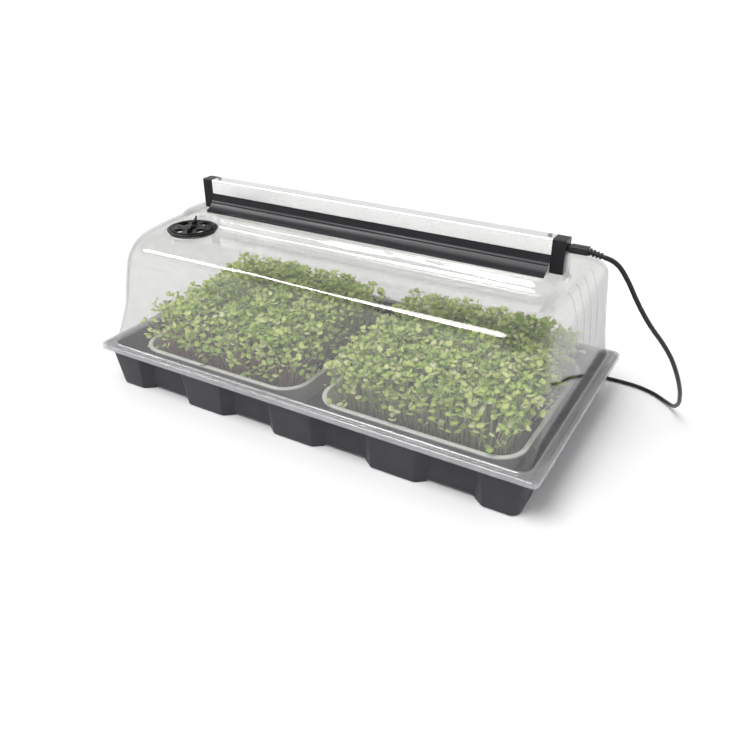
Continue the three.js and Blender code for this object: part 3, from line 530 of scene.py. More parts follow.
def coil_points():
    """Four turns inwards on the bottom layer, then four outwards on the top one, clockwise from above."""
    rows, pitch = COIL["rows"], COIL["pitch"]
    outer = COIL["inner"] + (rows - 1) * pitch
    turns = rows * 2
    points = []
    for k in range(turns * COIL_STEPS + 1):
        turned = k / COIL_STEPS
        bottom = min(turned, rows)
        top = max(turned - rows, 0)
        radius = outer - pitch * (rows - 1) * (bottom - top) / rows
        climb = min(max((turned - rows + 0.5), 0), 1)
        z = COIL["low"] + pitch * climb * climb * (3 - 2 * climb)
        angle = -math.pi / 2 - TURN * turned
        x = COIL["x"] + radius * math.cos(angle)
        y = COIL["y"] + radius * math.sin(angle)
        points.append(Vector((x, y, z)))
    return points


def make_cord():
    route = catmull_rom(CORD_ROUTE, ROUTE_STEPS)
    furthest = cad_bounds[1][0] / MM - CORD_D / 2
    for point in route:
        point.x = min(point.x, furthest)
    coil = coil_points()
    plug_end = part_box("mains_plug")[1] / MM
    out = coil[-1] + Vector((-CORD_TUCK, 0, 0))
    path = route + [Vector(LEAD_IN)] + coil
    path += [out, Vector((plug_end.x - PLUG_OVERLAP, out.y, out.z))]
    curve = bpy.data.curves.new("power_cord_line", "CURVE")
    curve.dimensions = "3D"
    curve.bevel_depth = CORD_D / 2 * MM
    curve.bevel_resolution = 6
    curve.use_fill_caps = True
    spline = curve.splines.new("POLY")
    spline.points.add(len(path) - 1)
    for point, place in zip(spline.points, path):
        point.co = (*(place * MM), 1)
    spline.use_smooth = True
    curve.materials.append(LOOKS["cord_rubber"])
    cord = linked("power_cord_line", curve)
    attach(cord, "lead")
    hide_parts("power_cord", "cord_coil")


def finish_lead():
    keep_node("cord_connector", "cord_rubber", 0.4, 3)
    keep_node("strain_relief", "cord_rubber", 0.2)
    keep_node("cord_tie", "tie_strap", 0.25)
    keep_node("mains_plug", "cord_rubber", 0.4, 3)
    for letter in "ab":
        keep_node(f"plug_blade_{letter}", "brass", 0.3)
        keep_node(f"inlet_pin_{letter}", "brass", 0.2)
    keep_node("inlet_socket", "black_plastic", 0.2)


make_cord()
finish_lead()


# ---- base tray ----
RIM = {"length": 546, "width": 289.2, "corner": 8}
FLANGE_WALL = 1.5
TRAY = {"bottom": (255.5, 136.5), "top": (263, 140), "corner": 10, "wall": 1.8, "edge": 2}
TRAY_TOP = 49.5
UNDER_RIM = 47.7
TRAY_RIM_CORNER = 9.5
RECESS_TOP = 46
RECESS_FILLET = 5.0
FRONT_RECESS = {"centres": (-183, -61, 61, 183), "throat": 37, "face": 128}
END_RECESS = {"centres": (-62, 62), "throat": 34, "face": 247.5}
CHANNEL = {"height": 4, "top": 25, "bottom": 27}  # under the floor; the widths are halves
RECESS_FLARE = 1.25  # run of a recess's side for each millimetre of its depth
RECESS_DRAFT = 8  # half the extra width of a recess at the bottom
SHALLOW = 0.15  # depth left of a recess above its top, too little to see


def recess_corners(recess, reach, z, grown, flat):
    """Corners of one side's recesses, as (along, out) with fillets, from one end to the other."""
    corners = []
    narrow = recess["throat"] / 2 + RECESS_DRAFT * max(RECESS_TOP - z, 0) / RECESS_TOP + grown
    face = reach - SHALLOW if flat else min(recess["face"] - grown, reach - SHALLOW)
    wide = narrow + (reach - face) * RECESS_FLARE
    radius = min(RECESS_FILLET, (reach - face) * 1.6)
    for centre in recess["centres"]:
        for along, out in ((-wide, reach), (-narrow, face), (narrow, face), (wide, reach)):
            corners.append((centre + along, out, radius, 4))
    return corners


def tray_ring(a, b, r, z, grown=0.0, flat=False):
    """The tray's outline at one height, with its recesses; flat leaves them too shallow to see."""
    front = recess_corners(FRONT_RECESS, b, z, grown, flat)
    side = recess_corners(END_RECESS, a, z, grown, flat)
    corners = [(-a, -b, r, CORNER_STEPS)] + [(x, -y, fillet, n) for x, y, fillet, n in front]
    corners += [(a, -b, r, CORNER_STEPS)] + [(x, y, fillet, n) for y, x, fillet, n in side]
    corners += [(a, b, r, CORNER_STEPS)] + [(-x, y, fillet, n) for x, y, fillet, n in front]
    corners += [(-a, b, r, CORNER_STEPS)] + [(-x, -y, fillet, n) for y, x, fillet, n in side]
    return at_height(rounded(corners), z)


def tray_wall(z):
    """Half length and half width of the tray's outer wall at a height, with its rounded bottom edge."""
    (a0, b0), (a1, b1), edge = TRAY["bottom"], TRAY["top"], TRAY["edge"]
    s = max(z - edge, 0) / (UNDER_RIM - edge)
    pulled = 0.0
    if z < edge:
        pulled = edge - math.sqrt(edge ** 2 - (edge - z) ** 2)
    return a0 + (a1 - a0) * s - pulled, b0 + (b1 - b0) * s - pulled, TRAY["corner"] - pulled


def floor_channels(grown):
    """The spaces of the channels under the floor, from each front recess to the one behind it."""
    bars = []
    low, high, crown = CHANNEL["bottom"] + grown, CHANNEL["top"] + grown, CHANNEL["height"] + grown
    for x in FRONT_RECESS["centres"]:
        section = rounded([(x - low, -1, 0, 0), (x + low, -1, 0, 0), (x + high, crown, 1.5, 3),
                           (x - high, crown, 1.5, 3)])
        reach = FRONT_RECESS["face"] + 1
        bars.append(skin([[(u, y, v) for u, v in section] for y in (reach, -reach)]))
    return merged(*bars)


def base_tray():
    """The outer body less the hollow, each with the floor's channels cut into it."""
    wall = TRAY["wall"]
    outer = []
    for z in (0.0, 0.12, 0.45, 1.1, 2, 8, 16, 24, 32, 40, 44.4, 45.6):
        outer.append(tray_ring(*tray_wall(z), z))
    for z in (RECESS_TOP, UNDER_RIM):
        outer.append(tray_ring(*tray_wall(z), z, flat=True))
    rim_a = RIM["length"] / 2 - FLANGE_WALL - GAP
    rim_b = RIM["width"] / 2 - FLANGE_WALL - GAP
    rim = [(wall, UNDER_RIM), (wall, 46), (0, 46), (0, 48.7), (0.25, 49.25), (0.8, TRAY_TOP)]
    for inset, z in rim:
        outer.append(tray_ring(rim_a - inset, rim_b - inset, TRAY_RIM_CORNER - inset, z, flat=True))
    inner = []
    for z in (wall, 1.9, 2.5, 3.8, 10, 26, 41, 47.4):
        a, b, r = tray_wall(z - wall if z < 10 else z)
        inner.append(tray_ring(a - wall, b - wall, r - wall, z, wall))
    for z in (47.8, TRAY_TOP + 1):
        a, b, r = tray_wall(z)
        inner.append(tray_ring(a - wall, b - wall, r - wall, z, wall, flat=True))
    body = boolean(to_data(skin(outer)), "DIFFERENCE", floor_channels(0))
    hollow = boolean(to_data(skin(inner)), "DIFFERENCE", floor_channels(wall))
    return boolean(body, "DIFFERENCE", hollow)


piece("tray_body", base_tray(), "charcoal_plastic", "tray", ["base_tray"], sharp=30)


# ---- dome ----
DOME_WALL = 1.5
# height, half length, half width and corner radius, then the same three sizes for the tight corner
DOME_STATIONS = [
    (52.5, 261, 136, 13, 261, 136, 13),
    (75, 260, 126, 18, 260, 126, 18),
    (102, 258.5, 120, 26, 258.5, 120, 20),
    (132, 256, 119, 33, 255.5, 119, 21),
    (153, 253, 117.5, 38, 254.5, 118.5, 23),
    (163, 249.5, 115, 41, 254, 118, 25),
    (170, 247, 110.5, 43, 252, 115, 27),
    (174.5, 244.5, 102, 44, 248.5, 109, 28),
    (178, 241, 82, 44, 243, 90, 28),
    (181, 238.5, 37, 30, 238.5, 37, 30),
    (187, 232, 31.5, 24, 232, 31.5, 24),
    (189.7, 226, 28.5, 20, 226, 28.5, 20),
]
ROOF_FROM = 165  # above this height the skin's thickness is measured downwards
VENTS = {"front": (-188, -53), "back": (188, 53)}
LAND_Z = 180.3  # top of the flat land that each vent sits on
LAND = {"radius": 31.5, "pocket": 29.6, "depth": 10, "hole": 27, "edge": 1.2, "clear": 20}
STATION_STEPS = 7  # outlines between each two stations
DOME_STEPS = 16  # facets in a corner of the dome
FLANGE_TOP = 52.2  # below this the dome has the flange's look


def dome_ring(z, a, b, r, tight=None):
    """A rounded rectangle; tight gives its corner at the back, by the lead, sizes of its own."""
    far_a, far_b, far_r = tight or (a, b, r)
    corners = [(-a, -b, r), (a, -b, r), (far_a, far_b, far_r), (-a, b, r)]
    return at_height(rounded([(*corner, DOME_STEPS) for corner in corners]), z)


def dome_rings(inset):
    """The dome's outline from the rim up; an inset makes the inner skin's."""
    rings = []
    for z, a, b, r, *tight in smooth_between(DOME_STATIONS, STATION_STEPS):
        down = inset if z > ROOF_FROM else 0
        tight = [size - inset for size in tight]
        rings.append(dome_ring(z - down, a - inset, b - inset, r - inset, tight))
    return rings


def dome_body():
    """The shell with its flange, ridge, vent lands, pockets and holes."""
    half_x, half_y, r = RIM["length"] / 2, RIM["width"] / 2, RIM["corner"]
    foot_a, foot_b, foot_r = DOME_STATIONS[0][1:4]
    outer = [dome_ring(z, half_x - back, half_y - back, r - back)
             for back, z in ((0.3, 45), (0, 45.3), (0, 50.3), (0.3, 51), (1, 51.3), (2.2, 51.3),
                             (2.8, 51.9), (4.2, 51.9), (4.8, 51.3))]
    outer += [dome_ring(51.3, foot_a + 1.5, foot_b + 1.5, foot_r + 1.5),
              dome_ring(51.65, foot_a + 0.55, foot_b + 0.55, foot_r + 0.5)]
    outer += dome_rings(0)
    inner = [dome_ring(z, half_x - FLANGE_WALL, half_y - FLANGE_WALL, r - FLANGE_WALL) for z in (44, 49.8)]
    inner += [dome_ring(49.8, foot_a - DOME_WALL, foot_b - DOME_WALL, foot_r - DOME_WALL)]
    inner += dome_rings(DOME_WALL)
    shell = to_data(skin(outer))
    hollow = to_data(skin(inner))
    for x, y in VENTS.values():
        over = LAND_Z + LAND["clear"]
        land = disc(LAND["radius"] + LAND["edge"], LAND_Z - LAND["depth"], LAND_Z, flare=-LAND["edge"])
        pocket = disc(LAND["pocket"], LAND_Z, over, flare=5)
        kept = disc(LAND["pocket"] + DOME_WALL, LAND_Z - DOME_WALL, over, flare=5.2)
        shell = boolean(shell, "UNION", moved(land, (x, y, 0)))
        shell = boolean(shell, "DIFFERENCE", moved(pocket, (x, y, 0)))
        hollow = boolean(hollow, "DIFFERENCE", moved(kept, (x, y, 0)))
    shell = boolean(shell, "DIFFERENCE", hollow)
    for x, y in VENTS.values():
        hole = disc(LAND["hole"], LAND_Z - LAND["depth"], LAND_Z + LAND["depth"])
        shell = boolean(shell, "DIFFERENCE", moved(hole, (x, y, 0)))
    return shell


def finish_dome():
    """The flange has the duller look of its doubled, scuffed edge."""
    dome = piece("dome_body", dome_body(), "clear_plastic", "dome", ["dome"], sharp=50)
    dome.data.materials.append(LOOKS["flange_plastic"])
    for face in dome.data.polygons:
        if face.center.z < FLANGE_TOP * MM:
            face.material_index = 1


finish_dome()


RIBS_Y = (-10, 14, 38, 62)
RIB_RISE = 0.6
RIB_FOOT = 0.7  # half the rib's width where it meets the wall
RIB_CREST = 0.5  # half its width near the top
RIB_PROFILE = [  # height and distance out of the end wall under the ribs
    (96, 258.8), (113, 257.8), (132, 256), (153, 253), (163, 249.5), (170, 247), (174.5, 244.5),
    (178, 241),
]


def end_ribs():
    """Shallow moulded ribs on the end wall by the lead, from half height to the shoulder."""
    profile = smooth_between(RIB_PROFILE, 4)
    ribs = []
    for y in RIBS_Y:
        rings = []
        last = len(profile) - 1
        for i, (z, x) in enumerate(profile):
            before, after = profile[max(i - 1, 0)], profile[min(i + 1, last)]
            run = Vector((after[1] - before[1], after[0] - before[0])).normalized()
            out = Vector((run.y, -run.x))
            rise = RIB_RISE * min(1.0, i / 8, (last - i) / 3)
            ring = []
            section = ((-RIB_FOOT, -RIB_RISE), (RIB_FOOT, -RIB_RISE), (RIB_CREST, rise * 0.7), (0, rise),
                       (-RIB_CREST, rise * 0.7))
            for across, up in section:
                place = Vector((x, z)) + out * up
                ring.append((place.x, y + across, place.y))
            rings.append(ring)
        ribs.append(skin(rings))
    return merged(*ribs)


piece("dome_end_ribs", end_ribs(), "clear_plastic", "dome", sharp=60)
for where in SIDES:
    keep_node(f"light_stop_{where}", "clear_plastic", 0.2)


# ---- vents ----
VENT_Z = LAND_Z + GAP
GRIP_ANGLE = math.radians(120)
PORTS = 4
PORT_HALF = math.radians(17)
PORT_RADII = (12.5, 22)
PLATE_STEPS = 8  # cells across each port, and between two ports
ROUND = 96  # facets in the vents' rings
BORE = 2.5  # radius of the plates' bore round the rivet
GRIP_SECTION = [(-1.3, 1.3, 0, 0), (1.3, 1.3, 0, 0), (1.3, 6.5, 0.8, 3), (-1.3, 6.5, 0.8, 3)]
GRIP_REACH = (5, 22.2)  # distances from the centre where each grip starts and ends
DOT_REACH = 15  # distance of the dial's two dots from its centre


def ported_plate(radius, bore, z0, z1):
    """A disc with a central bore and its ports, as a polar grid of cells."""
    radii = [bore, *PORT_RADII, radius]
    angles, open_after = [], []
    for port in range(PORTS):
        centre = GRIP_ANGLE + (port + 0.5) * TURN / PORTS
        gap_half = math.pi / PORTS - PORT_HALF
        for k in range(PLATE_STEPS):
            angles.append(centre - PORT_HALF + 2 * PORT_HALF * k / PLATE_STEPS)
            open_after.append(True)
        for k in range(PLATE_STEPS):
            angles.append(centre + PORT_HALF + 2 * gap_half * k / PLATE_STEPS)
            open_after.append(False)
    count = len(angles)
    vertices = []
    for z in (z0, z1):
        for r in radii:
            vertices += [(r * math.cos(a), r * math.sin(a), z) for a in angles]
    top = len(radii) * count
    bands = len(radii) - 1

    def solid(band, k):
        if band < 0 or band >= bands:
            return False
        return not (band == 1 and open_after[k % count])

    faces = []
    for band in range(bands):
        for k in range(count):
            if not solid(band, k):
                continue
            n = (k + 1) % count
            inner, outer = band * count, (band + 1) * count
            a, b, c, d = inner + k, inner + n, outer + n, outer + k
            faces.append((a, b, c, d))
            faces.append((top + a, top + d, top + c, top + b))
            if not solid(band, k + 1):
                faces.append((b, c, top + c, top + b))
            if not solid(band, k - 1):
                faces.append((d, a, top + a, top + d))
            if not solid(band - 1, k):
                faces.append((a, b, top + b, top + a))
            if not solid(band + 1, k):
                faces.append((d, c, top + c, top + d))
    used = sorted({i for face in faces for i in face})
    index = {old: new for new, old in enumerate(used)}
    return [vertices[i] for i in used], [tuple(index[i] for i in face) for face in faces]


def vent_seat():
    plate = ported_plate(25.4, BORE, -1, 0.35)
    flange = lathe([(26.6, -3.4), (26.6, -0.001), (28.4, 0.001), (28.7, 0.3), (28.7, 1.0), (28.2, 1.5),
                    (25.6, 1.5), (25, 1.1), (25, -3.4)], ROUND)
    return merged(plate, flange)


def vent_dial():
    plate = ported_plate(24.2, BORE, 0.7, 2.0)
    rim = lathe([(24.2, 1.3), (24.2, 2.1), (23.8, 2.4), (23.1, 2.4), (22.7, 2.1), (22.7, 1.3)], ROUND)
    grip = skin([along_x(rounded(GRIP_SECTION), x) for x in GRIP_REACH])
    bars = [moved(grip, turn=GRIP_ANGLE + turn) for turn in (0, math.pi)]
    tab = moved(block((21.2, -0.8, 1.3), (23.6, 0.8, 8)), turn=GRIP_ANGLE)
    dots = []
    for k in range(2):
        angle = GRIP_ANGLE + math.pi / 2 + k * math.pi
        dot = disc(1.3, 1.9, 2.6, 20)
        dots.append(moved(dot, (DOT_REACH * math.cos(angle), DOT_REACH * math.sin(angle), 0)))
    return merged(plate, rim, *bars, tab, *dots)


def vent_rivet():
    profile = [(0.01, -3), (3.6, -3), (3.6, -1.3), (2.2, -1.3), (2.2, 2.3), (4, 2.3), (4, 3.2), (3.5, 3.9),
               (2.6, 4.2), (0.01, 4.2)]
    return lathe(profile, 40)


for where, (x, y) in VENTS.items():
    spot = (x, y, VENT_Z)
    piece(f"vent_{where}_seat", moved(vent_seat(), spot), "black_plastic", "dome", [f"vent_seat_{where}"],
          bevel=0.15)
    piece(f"vent_{where}_dial", moved(vent_dial(), spot), "black_plastic", f"vent_{where}",
          [f"vent_dial_{where}"], bevel=0.2)
    piece(f"vent_{where}_rivet", moved(vent_rivet(), spot), "black_plastic", "dome",
          [f"vent_rivet_{where}"])


# ---- light ----
LIGHT = {"left": -208, "right": 232, "y": 3, "cap": 13}
HOUSING_X = (LIGHT["left"] + LIGHT["cap"] + GAP, LIGHT["right"] - LIGHT["cap"] - GAP)
REFLECTOR = {"roof": (8, 208.7), "waist": (9.6, 197.1), "lip": (23.2, 191.1), "wall": 0.9}
LAMP = {"z": 199, "radius": 6, "wall": 1}
FLARE_STEPS = 28
LEDGES = (5, 6, 11, 12)  # points of the flare that stand out as rolled ledges
LEDGE = 0.28
TUBE_SIDES = 48
CHIP_PITCH = 5.4
CHIP_MARGIN = 6  # board left free at the ends of the row
CHIP_TIERS = ((1.2, 1.0, 0.75), (1.4, 1.2, -0.1))  # half length, half width, depth below the board


def flare(depth):
    """Half of the reflector's section, from the roof's edge to the lip."""
    (y0, z0), (y1, z1), (y2, z2) = REFLECTOR["roof"], REFLECTOR["waist"], REFLECTOR["lip"]
    points = []
    for k in range(FLARE_STEPS + 1):
        s = k / FLARE_STEPS
        first, middle, last = (1 - s) ** 2, 2 * s * (1 - s), s ** 2
        y = (y0 - depth) * first + (y1 - depth) * middle + (y2 - depth * 0.4) * last
        z = (z0 - depth) * first + (z1 - depth) * middle + (z2 - depth) * last
        points.append((y, z))
    return points


def reflector_sheet(outer, inner, ends):
    """A sheet between two half sections, mirrored about the light's middle, from end to end."""
    section = outer[::-1] + [(-y, z) for y, z in outer] + [(-y, z) for y, z in inner[::-1]] + inner
    section = [(y + LIGHT["y"], z) for y, z in section]
    return skin([along_x(section, x) for x in ends])


def reflector_skin():
    """Black outer sheet, with two fine rolled ledges along each flare."""
    outer = []
    for i, (y, z) in enumerate(flare(0)):
        ledge = LEDGE if i in LEDGES else 0.0
        outer.append((y + ledge, z))
    return reflector_sheet(outer, flare(REFLECTOR["wall"] * 0.5), HOUSING_X)


def reflector_lining():
    """The pale inner face of the reflector, against the outer sheet."""
    outer = flare(REFLECTOR["wall"] * 0.55)
    ends = (HOUSING_X[0] + GAP, HOUSING_X[1] - GAP)
    return reflector_sheet(outer, flare(REFLECTOR["wall"]), ends)


def lamp_loop(radius, x):
    """A circle round the lamp's axis."""
    return along_x([(y + LIGHT["y"], z + LAMP["z"]) for y, z in circle(radius, TUBE_SIDES)], x)


def lamp_tube():
    left, right = (corner.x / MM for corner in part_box("led_tube"))
    radius, bore = LAMP["radius"], LAMP["radius"] - LAMP["wall"]
    corners = ((radius, left), (radius, right), (bore, right), (bore, left))
    return skin([lamp_loop(*corner) for corner in corners], closed=True)


def led_chips():
    """A row of emitters along the underside of the board."""
    low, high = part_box("led_board")
    x0, x1, z = low.x / MM, high.x / MM, low.z / MM
    count = int((x1 - x0 - CHIP_MARGIN) / CHIP_PITCH)
    start = (x0 + x1) / 2 - (count - 1) * CHIP_PITCH / 2
    y = LIGHT["y"]
    chips = []
    for k in range(count):
        x = start + k * CHIP_PITCH
        tiers = []
        for h, w, depth in CHIP_TIERS:
            outline = [(x - h, y - w), (x + h, y - w), (x + h, y + w), (x - h, y + w)]
            tiers.append(at_height(outline, z - depth))
        chips.append(skin(tiers))
    return merged(*chips)


piece("reflector_shade", reflector_skin(), "reflector_black", "light", ["reflector"], sharp=25)
piece("reflector_lining", reflector_lining(), "reflector_white", "light", sharp=25)
piece("lamp_tube", lamp_tube(), "lamp_tube", "lamp", ["led_tube"])
piece("lamp_emitters", led_chips(), "led_emitter", "lamp")
keep_node("led_board", "led_board", 0.15)
keep_node("light_housing", "white_aluminium", 0.35, 3)
for where in SIDES:
    keep_node(f"end_cap_{where}", "black_plastic", 0.45, 3)
    keep_node(f"lamp_holder_{where}", "white_plastic", 0.25)
    keep_node(f"tube_cap_{where}", "white_plastic", 0.25)
    keep_node(f"holder_contact_{where}", "brass", 0.1)
    keep_node(f"housing_screw_{where}", "steel", 0.25)
    keep_node(f"lamp_lead_{where}", "cord_rubber")
keep_node("driver_board", "circuit_board", 0.1)
keep_node("driver_transformer", "black_plastic", 0.5)
keep_node("driver_capacitor", "black_plastic", 0.6)
keep_node("driver_choke", "copper_winding", 0.5)


# ---- grow trays ----
PAN = {"half": (116, 115), "corner": 32, "bottom": 6.1, "top": 43, "wall": 1.6, "draft": 9, "rim": 3.6}
PAN_X = {"left": -127, "right": 127}
PAN_FOOT = 2.5  # height of the rounding at the bottom edge
PAN_RIM_THICK = 3
PAN_TIGHTER = 4  # how much smaller the corner radius is at the floor


def grow_tray():
    """The pan as one skin: up the outside, over the rolled rim and down the inside."""
    (a, b), r = PAN["half"], PAN["corner"]
    bottom, top, wall, draft, rim = (PAN[k] for k in ("bottom", "top", "wall", "draft", "rim"))
    under = top - PAN_RIM_THICK
    outer_edge = [(rim, under), (1.2, under), (0.3, top - 2.7), (0, top - 2.1), (0, top - 1.1),
                  (0.3, top - 0.4), (1.0, top), (rim, top), (rim + wall, top - 0.4)]
    floor_a, floor_b, floor_r = a - rim - draft, b - rim - draft, r - PAN_TIGHTER
    foot = bottom + PAN_FOOT
    rise = under - foot
    outlines = []
    for inset, z in ((2.6, bottom), (1.2, bottom + 0.5), (0.4, bottom + 1.4), (0, foot)):
        outlines.append((floor_a - inset, floor_b - inset, floor_r - inset, z))
    for s in (0.33, 0.66):
        outlines.append((floor_a + draft * s, floor_b + draft * s, floor_r + 0.4 * s, foot + rise * s))
    outlines += [(a - inset, b - inset, r - inset, z) for inset, z in outer_edge]
    for s in (0.95, 0.66, 0.33, 0.02):
        out = draft * s - wall
        outlines.append((floor_a + out, floor_b + out, floor_r - wall, foot + wall + rise * s))
    for inset, z in ((wall + 1.2, bottom + wall + 0.6), (wall + 2.6, bottom + wall)):
        outlines.append((floor_a - inset, floor_b - inset, floor_r - inset, z))
    return skin([at_height(plan(half_x, half_y, corner), z) for half_x, half_y, corner, z in outlines])


MEDIUM = {"top": 28.2, "bottom_inset": 17.2, "top_inset": 10.7, "rings": 22}


def growing_medium(seed):
    """Coarse medium with an uneven top, built as shrinking copies of its outline."""
    (a, b), r = PAN["half"], PAN["corner"]
    low, high, top = MEDIUM["bottom_inset"], MEDIUM["top_inset"], MEDIUM["top"]
    outline = plan(a - high, b - high, r - 8)
    foot = at_height(plan(a - low, b - low, r - 9), PAN["bottom"] + PAN["wall"] + GAP)
    rings = [foot, at_height(outline, top - 2)]
    for k in range(MEDIUM["rings"]):
        s = 1 - (k + 0.4) / (MEDIUM["rings"] + 0.2)
        ring = []
        for x, y in outline:
            place = Vector((x * s, y * s, seed * 50))
            lift = 2.2 * noise.noise(place / 9) + 0.9 * noise.noise(place / 3)
            ring.append((x * s, y * s, top + lift * min(1, (k + 1) / 2)))
        rings.append(ring)
    return skin(rings)


# ---- microgreens ----
PLANTS = 1980
SPREAD_HALF = 98  # half the width of the sown square
SPREAD_CORNER = 20
EDGE_BAND = 26  # plants this near the square's edge lean out and stay lower
FOOT_Z = 27.5
HEIGHT = {"mean": 59, "waves": 7, "spread": 4.5, "back": 0.045, "edge": 46, "low": 13, "high": 74}
WAVE_LENGTH = 32
LEAN = {"least": 8, "most": 19, "spread": 3.8}
GROWTH_LEAN = 25  # lean that turns a plant's leaves by their full share
TIP_LIMIT = (112.5, 107)  # how far out a tip may be
TIP_DRAWN_IN = (0.5, 0.6)  # the same limit's loss for each millimetre above TIP_FROM
TIP_FROM = 70
LEAF_LENGTH = (5.4, 8.8)
LEAF_THICK = 0.018  # half the blade's thickness, for a leaf one unit long
LEAF_U = (0, 0.36, 0.74, 1.0)
LEAF_WIDTH = (0.12, 0.84, 1.0, 0.64)
LEAF_V = (-1, -0.5, 0, 0.5, 1)
LEAF_REACH = (0.84, 1.0, 0.84, 1.0, 0.84)


def leaf_template():
    """A notched cotyledon, one unit long and about as wide, as a closed thin blade."""
    border, top, bottom = {}, {}, {}
    vertices = []
    for i, (u, width) in enumerate(zip(LEAF_U, LEAF_WIDTH)):
        for j, (v, reach) in enumerate(zip(LEAF_V, LEAF_REACH)):
            bend = 1 + (reach - 1) * u ** 3
            x, y = u * bend, 0.52 * v * width
            z = 0.16 * (v * width) ** 2 - 0.20 * (u - 0.45) ** 2 + 0.04
            edge = i in (0, len(LEAF_U) - 1) or j in (0, len(LEAF_V) - 1)
            if edge:
                border[i, j] = len(vertices)
                vertices.append((x, y, z))
            else:
                top[i, j] = len(vertices)
                vertices.append((x, y, z + LEAF_THICK))
                bottom[i, j] = len(vertices)
                vertices.append((x, y, z - LEAF_THICK))
    faces = []
    for i in range(len(LEAF_U) - 1):
        for j in range(len(LEAF_V) - 1):
            cell = [(i, j), (i + 1, j), (i + 1, j + 1), (i, j + 1)]
            faces.append([border.get(c, top.get(c)) for c in cell])
            faces.append([border.get(c, bottom.get(c)) for c in reversed(cell)])
    return np.array(vertices), np.array(faces)


def sow(rng):
    """Plants of one tray: the foot, height and lean of each."""
    side = int(math.ceil(math.sqrt(PLANTS)))
    step = 2 * SPREAD_HALF / side
    grid = (np.arange(side) + 0.5) * step - SPREAD_HALF
    feet = np.stack(np.meshgrid(grid, grid), -1).reshape(-1, 2)
    feet += rng.uniform(-0.6, 0.6, feet.shape) * step
    corner = np.maximum(np.abs(feet) - (SPREAD_HALF - SPREAD_CORNER), 0)
    feet = feet[np.hypot(corner[:, 0], corner[:, 1]) < SPREAD_CORNER + 1]
    edge = np.clip((np.abs(feet) - (SPREAD_HALF - EDGE_BAND)) / EDGE_BAND, 0, 1.1)
    outward = np.sign(feet) * edge
    near = np.max(edge, axis=1)
    layer = feet[0, 0]
    waves = np.array([noise.noise(Vector((x / WAVE_LENGTH, y / WAVE_LENGTH, layer))) for x, y in feet])
    height = HEIGHT["mean"] + HEIGHT["waves"] * waves + rng.normal(0, HEIGHT["spread"], len(feet))
    height += feet[:, 1] * HEIGHT["back"]
    height -= near ** 2 * rng.uniform(0, HEIGHT["edge"], len(feet))
    height = np.clip(height, HEIGHT["low"], HEIGHT["high"])
    lean = outward * rng.uniform(LEAN["least"], LEAN["most"], (len(feet), 1))
    lean += rng.normal(0, LEAN["spread"], feet.shape)
    return feet, height, lean


def leaf_mesh(tips, growth, rng):
    """All leaves of one tray: two on each tip."""
    template, cells = leaf_template()
    count = len(tips)
    spin = rng.uniform(0, TURN, count)
    places, sizes, bases, tints = [], [], [], []
    plant_tint = np.clip(rng.normal(0.55, 0.22, count), 0, 1)
    for k in range(2):
        heading = spin + k * math.pi + rng.normal(0, 0.22, count)
        pitch = rng.normal(0.32, 0.34, count)
        roll = rng.normal(0, 0.35, count)
        level = np.cos(pitch)
        forward = np.stack([np.cos(heading) * level, np.sin(heading) * level, np.sin(pitch)], 1)
        forward = forward + growth * 0.5
        forward /= np.linalg.norm(forward, axis=1, keepdims=True)
        side = np.stack([-np.sin(heading), np.cos(heading), np.zeros(count)], 1)
        side -= forward * np.sum(side * forward, 1, keepdims=True)
        side /= np.linalg.norm(side, axis=1, keepdims=True)
        up = np.cross(forward, side)
        side, up = (side * np.cos(roll)[:, None] + up * np.sin(roll)[:, None],
                    up * np.cos(roll)[:, None] - side * np.sin(roll)[:, None])
        length = rng.uniform(*LEAF_LENGTH, count)
        bases.append(np.stack([forward, side, up], 1))
        breadth = length * rng.uniform(0.95, 1.2, count)
        cupping = length * rng.uniform(0.4, 1.5, count)
        sizes.append(np.stack([length, breadth, cupping], 1))
        places.append(tips + forward * rng.uniform(0.3, 2.2, (count, 1)))
        tints.append(np.clip(plant_tint + rng.normal(0, 0.08, count), 0, 1))
    base, size = np.concatenate(bases), np.concatenate(sizes)
    place, tint = np.concatenate(places), np.concatenate(tints)
    local = template[None, :, :] * size[:, None, :]
    vertices = np.einsum("nvk,nkx->nvx", local, base) + place[:, None, :]
    faces = cells[None] + (np.arange(len(place)) * len(template))[:, None, None]
    return vertices.reshape(-1, 3), faces.reshape(-1, 4), np.repeat(tint, len(template))


def stem_mesh(feet, tips, lean, redness, rng):
    """All stems of one tray: four-sided tapering tubes on a bent line, closed at both ends."""
    count, sides, rows = len(feet), 4, 5
    start = np.column_stack([feet, np.full(count, FOOT_Z)])
    bent = feet + lean * rng.uniform(0.0, 0.3, (count, 1))
    knee = np.column_stack([bent, FOOT_Z + (tips[:, 2] - FOOT_Z) * 0.6])
    vertices = np.zeros((count, rows, sides, 3))
    tints = np.zeros((count, rows, sides))
    width = rng.uniform(0.55, 0.85, count)
    for row in range(rows):
        s = row / (rows - 1)
        centre = start * (1 - s) ** 2 + knee * 2 * s * (1 - s) + tips * s ** 2
        for k in range(sides):
            angle = TURN * k / sides
            across = np.array([math.cos(angle), math.sin(angle), 0])
            vertices[:, row, k] = centre + across * (width * (1 - 0.25 * s))[:, None]
        tint = np.clip(1 - redness * (1.15 - s) + rng.normal(0, 0.12, count), 0, 1)
        tints[:, row, :] = tint[:, None]
    cells = []
    for row in range(rows - 1):
        for k in range(sides):
            n = (k + 1) % sides
            low, high = row * sides, (row + 1) * sides
            cells.append((low + k, low + n, high + n, high + k))
    cells.append(tuple(reversed(range(sides))))
    cells.append(tuple((rows - 1) * sides + k for k in range(sides)))
    faces = np.array(cells)[None] + (np.arange(count) * rows * sides)[:, None, None]
    return vertices.reshape(-1, 3), faces.reshape(-1, 4), tints.reshape(-1)


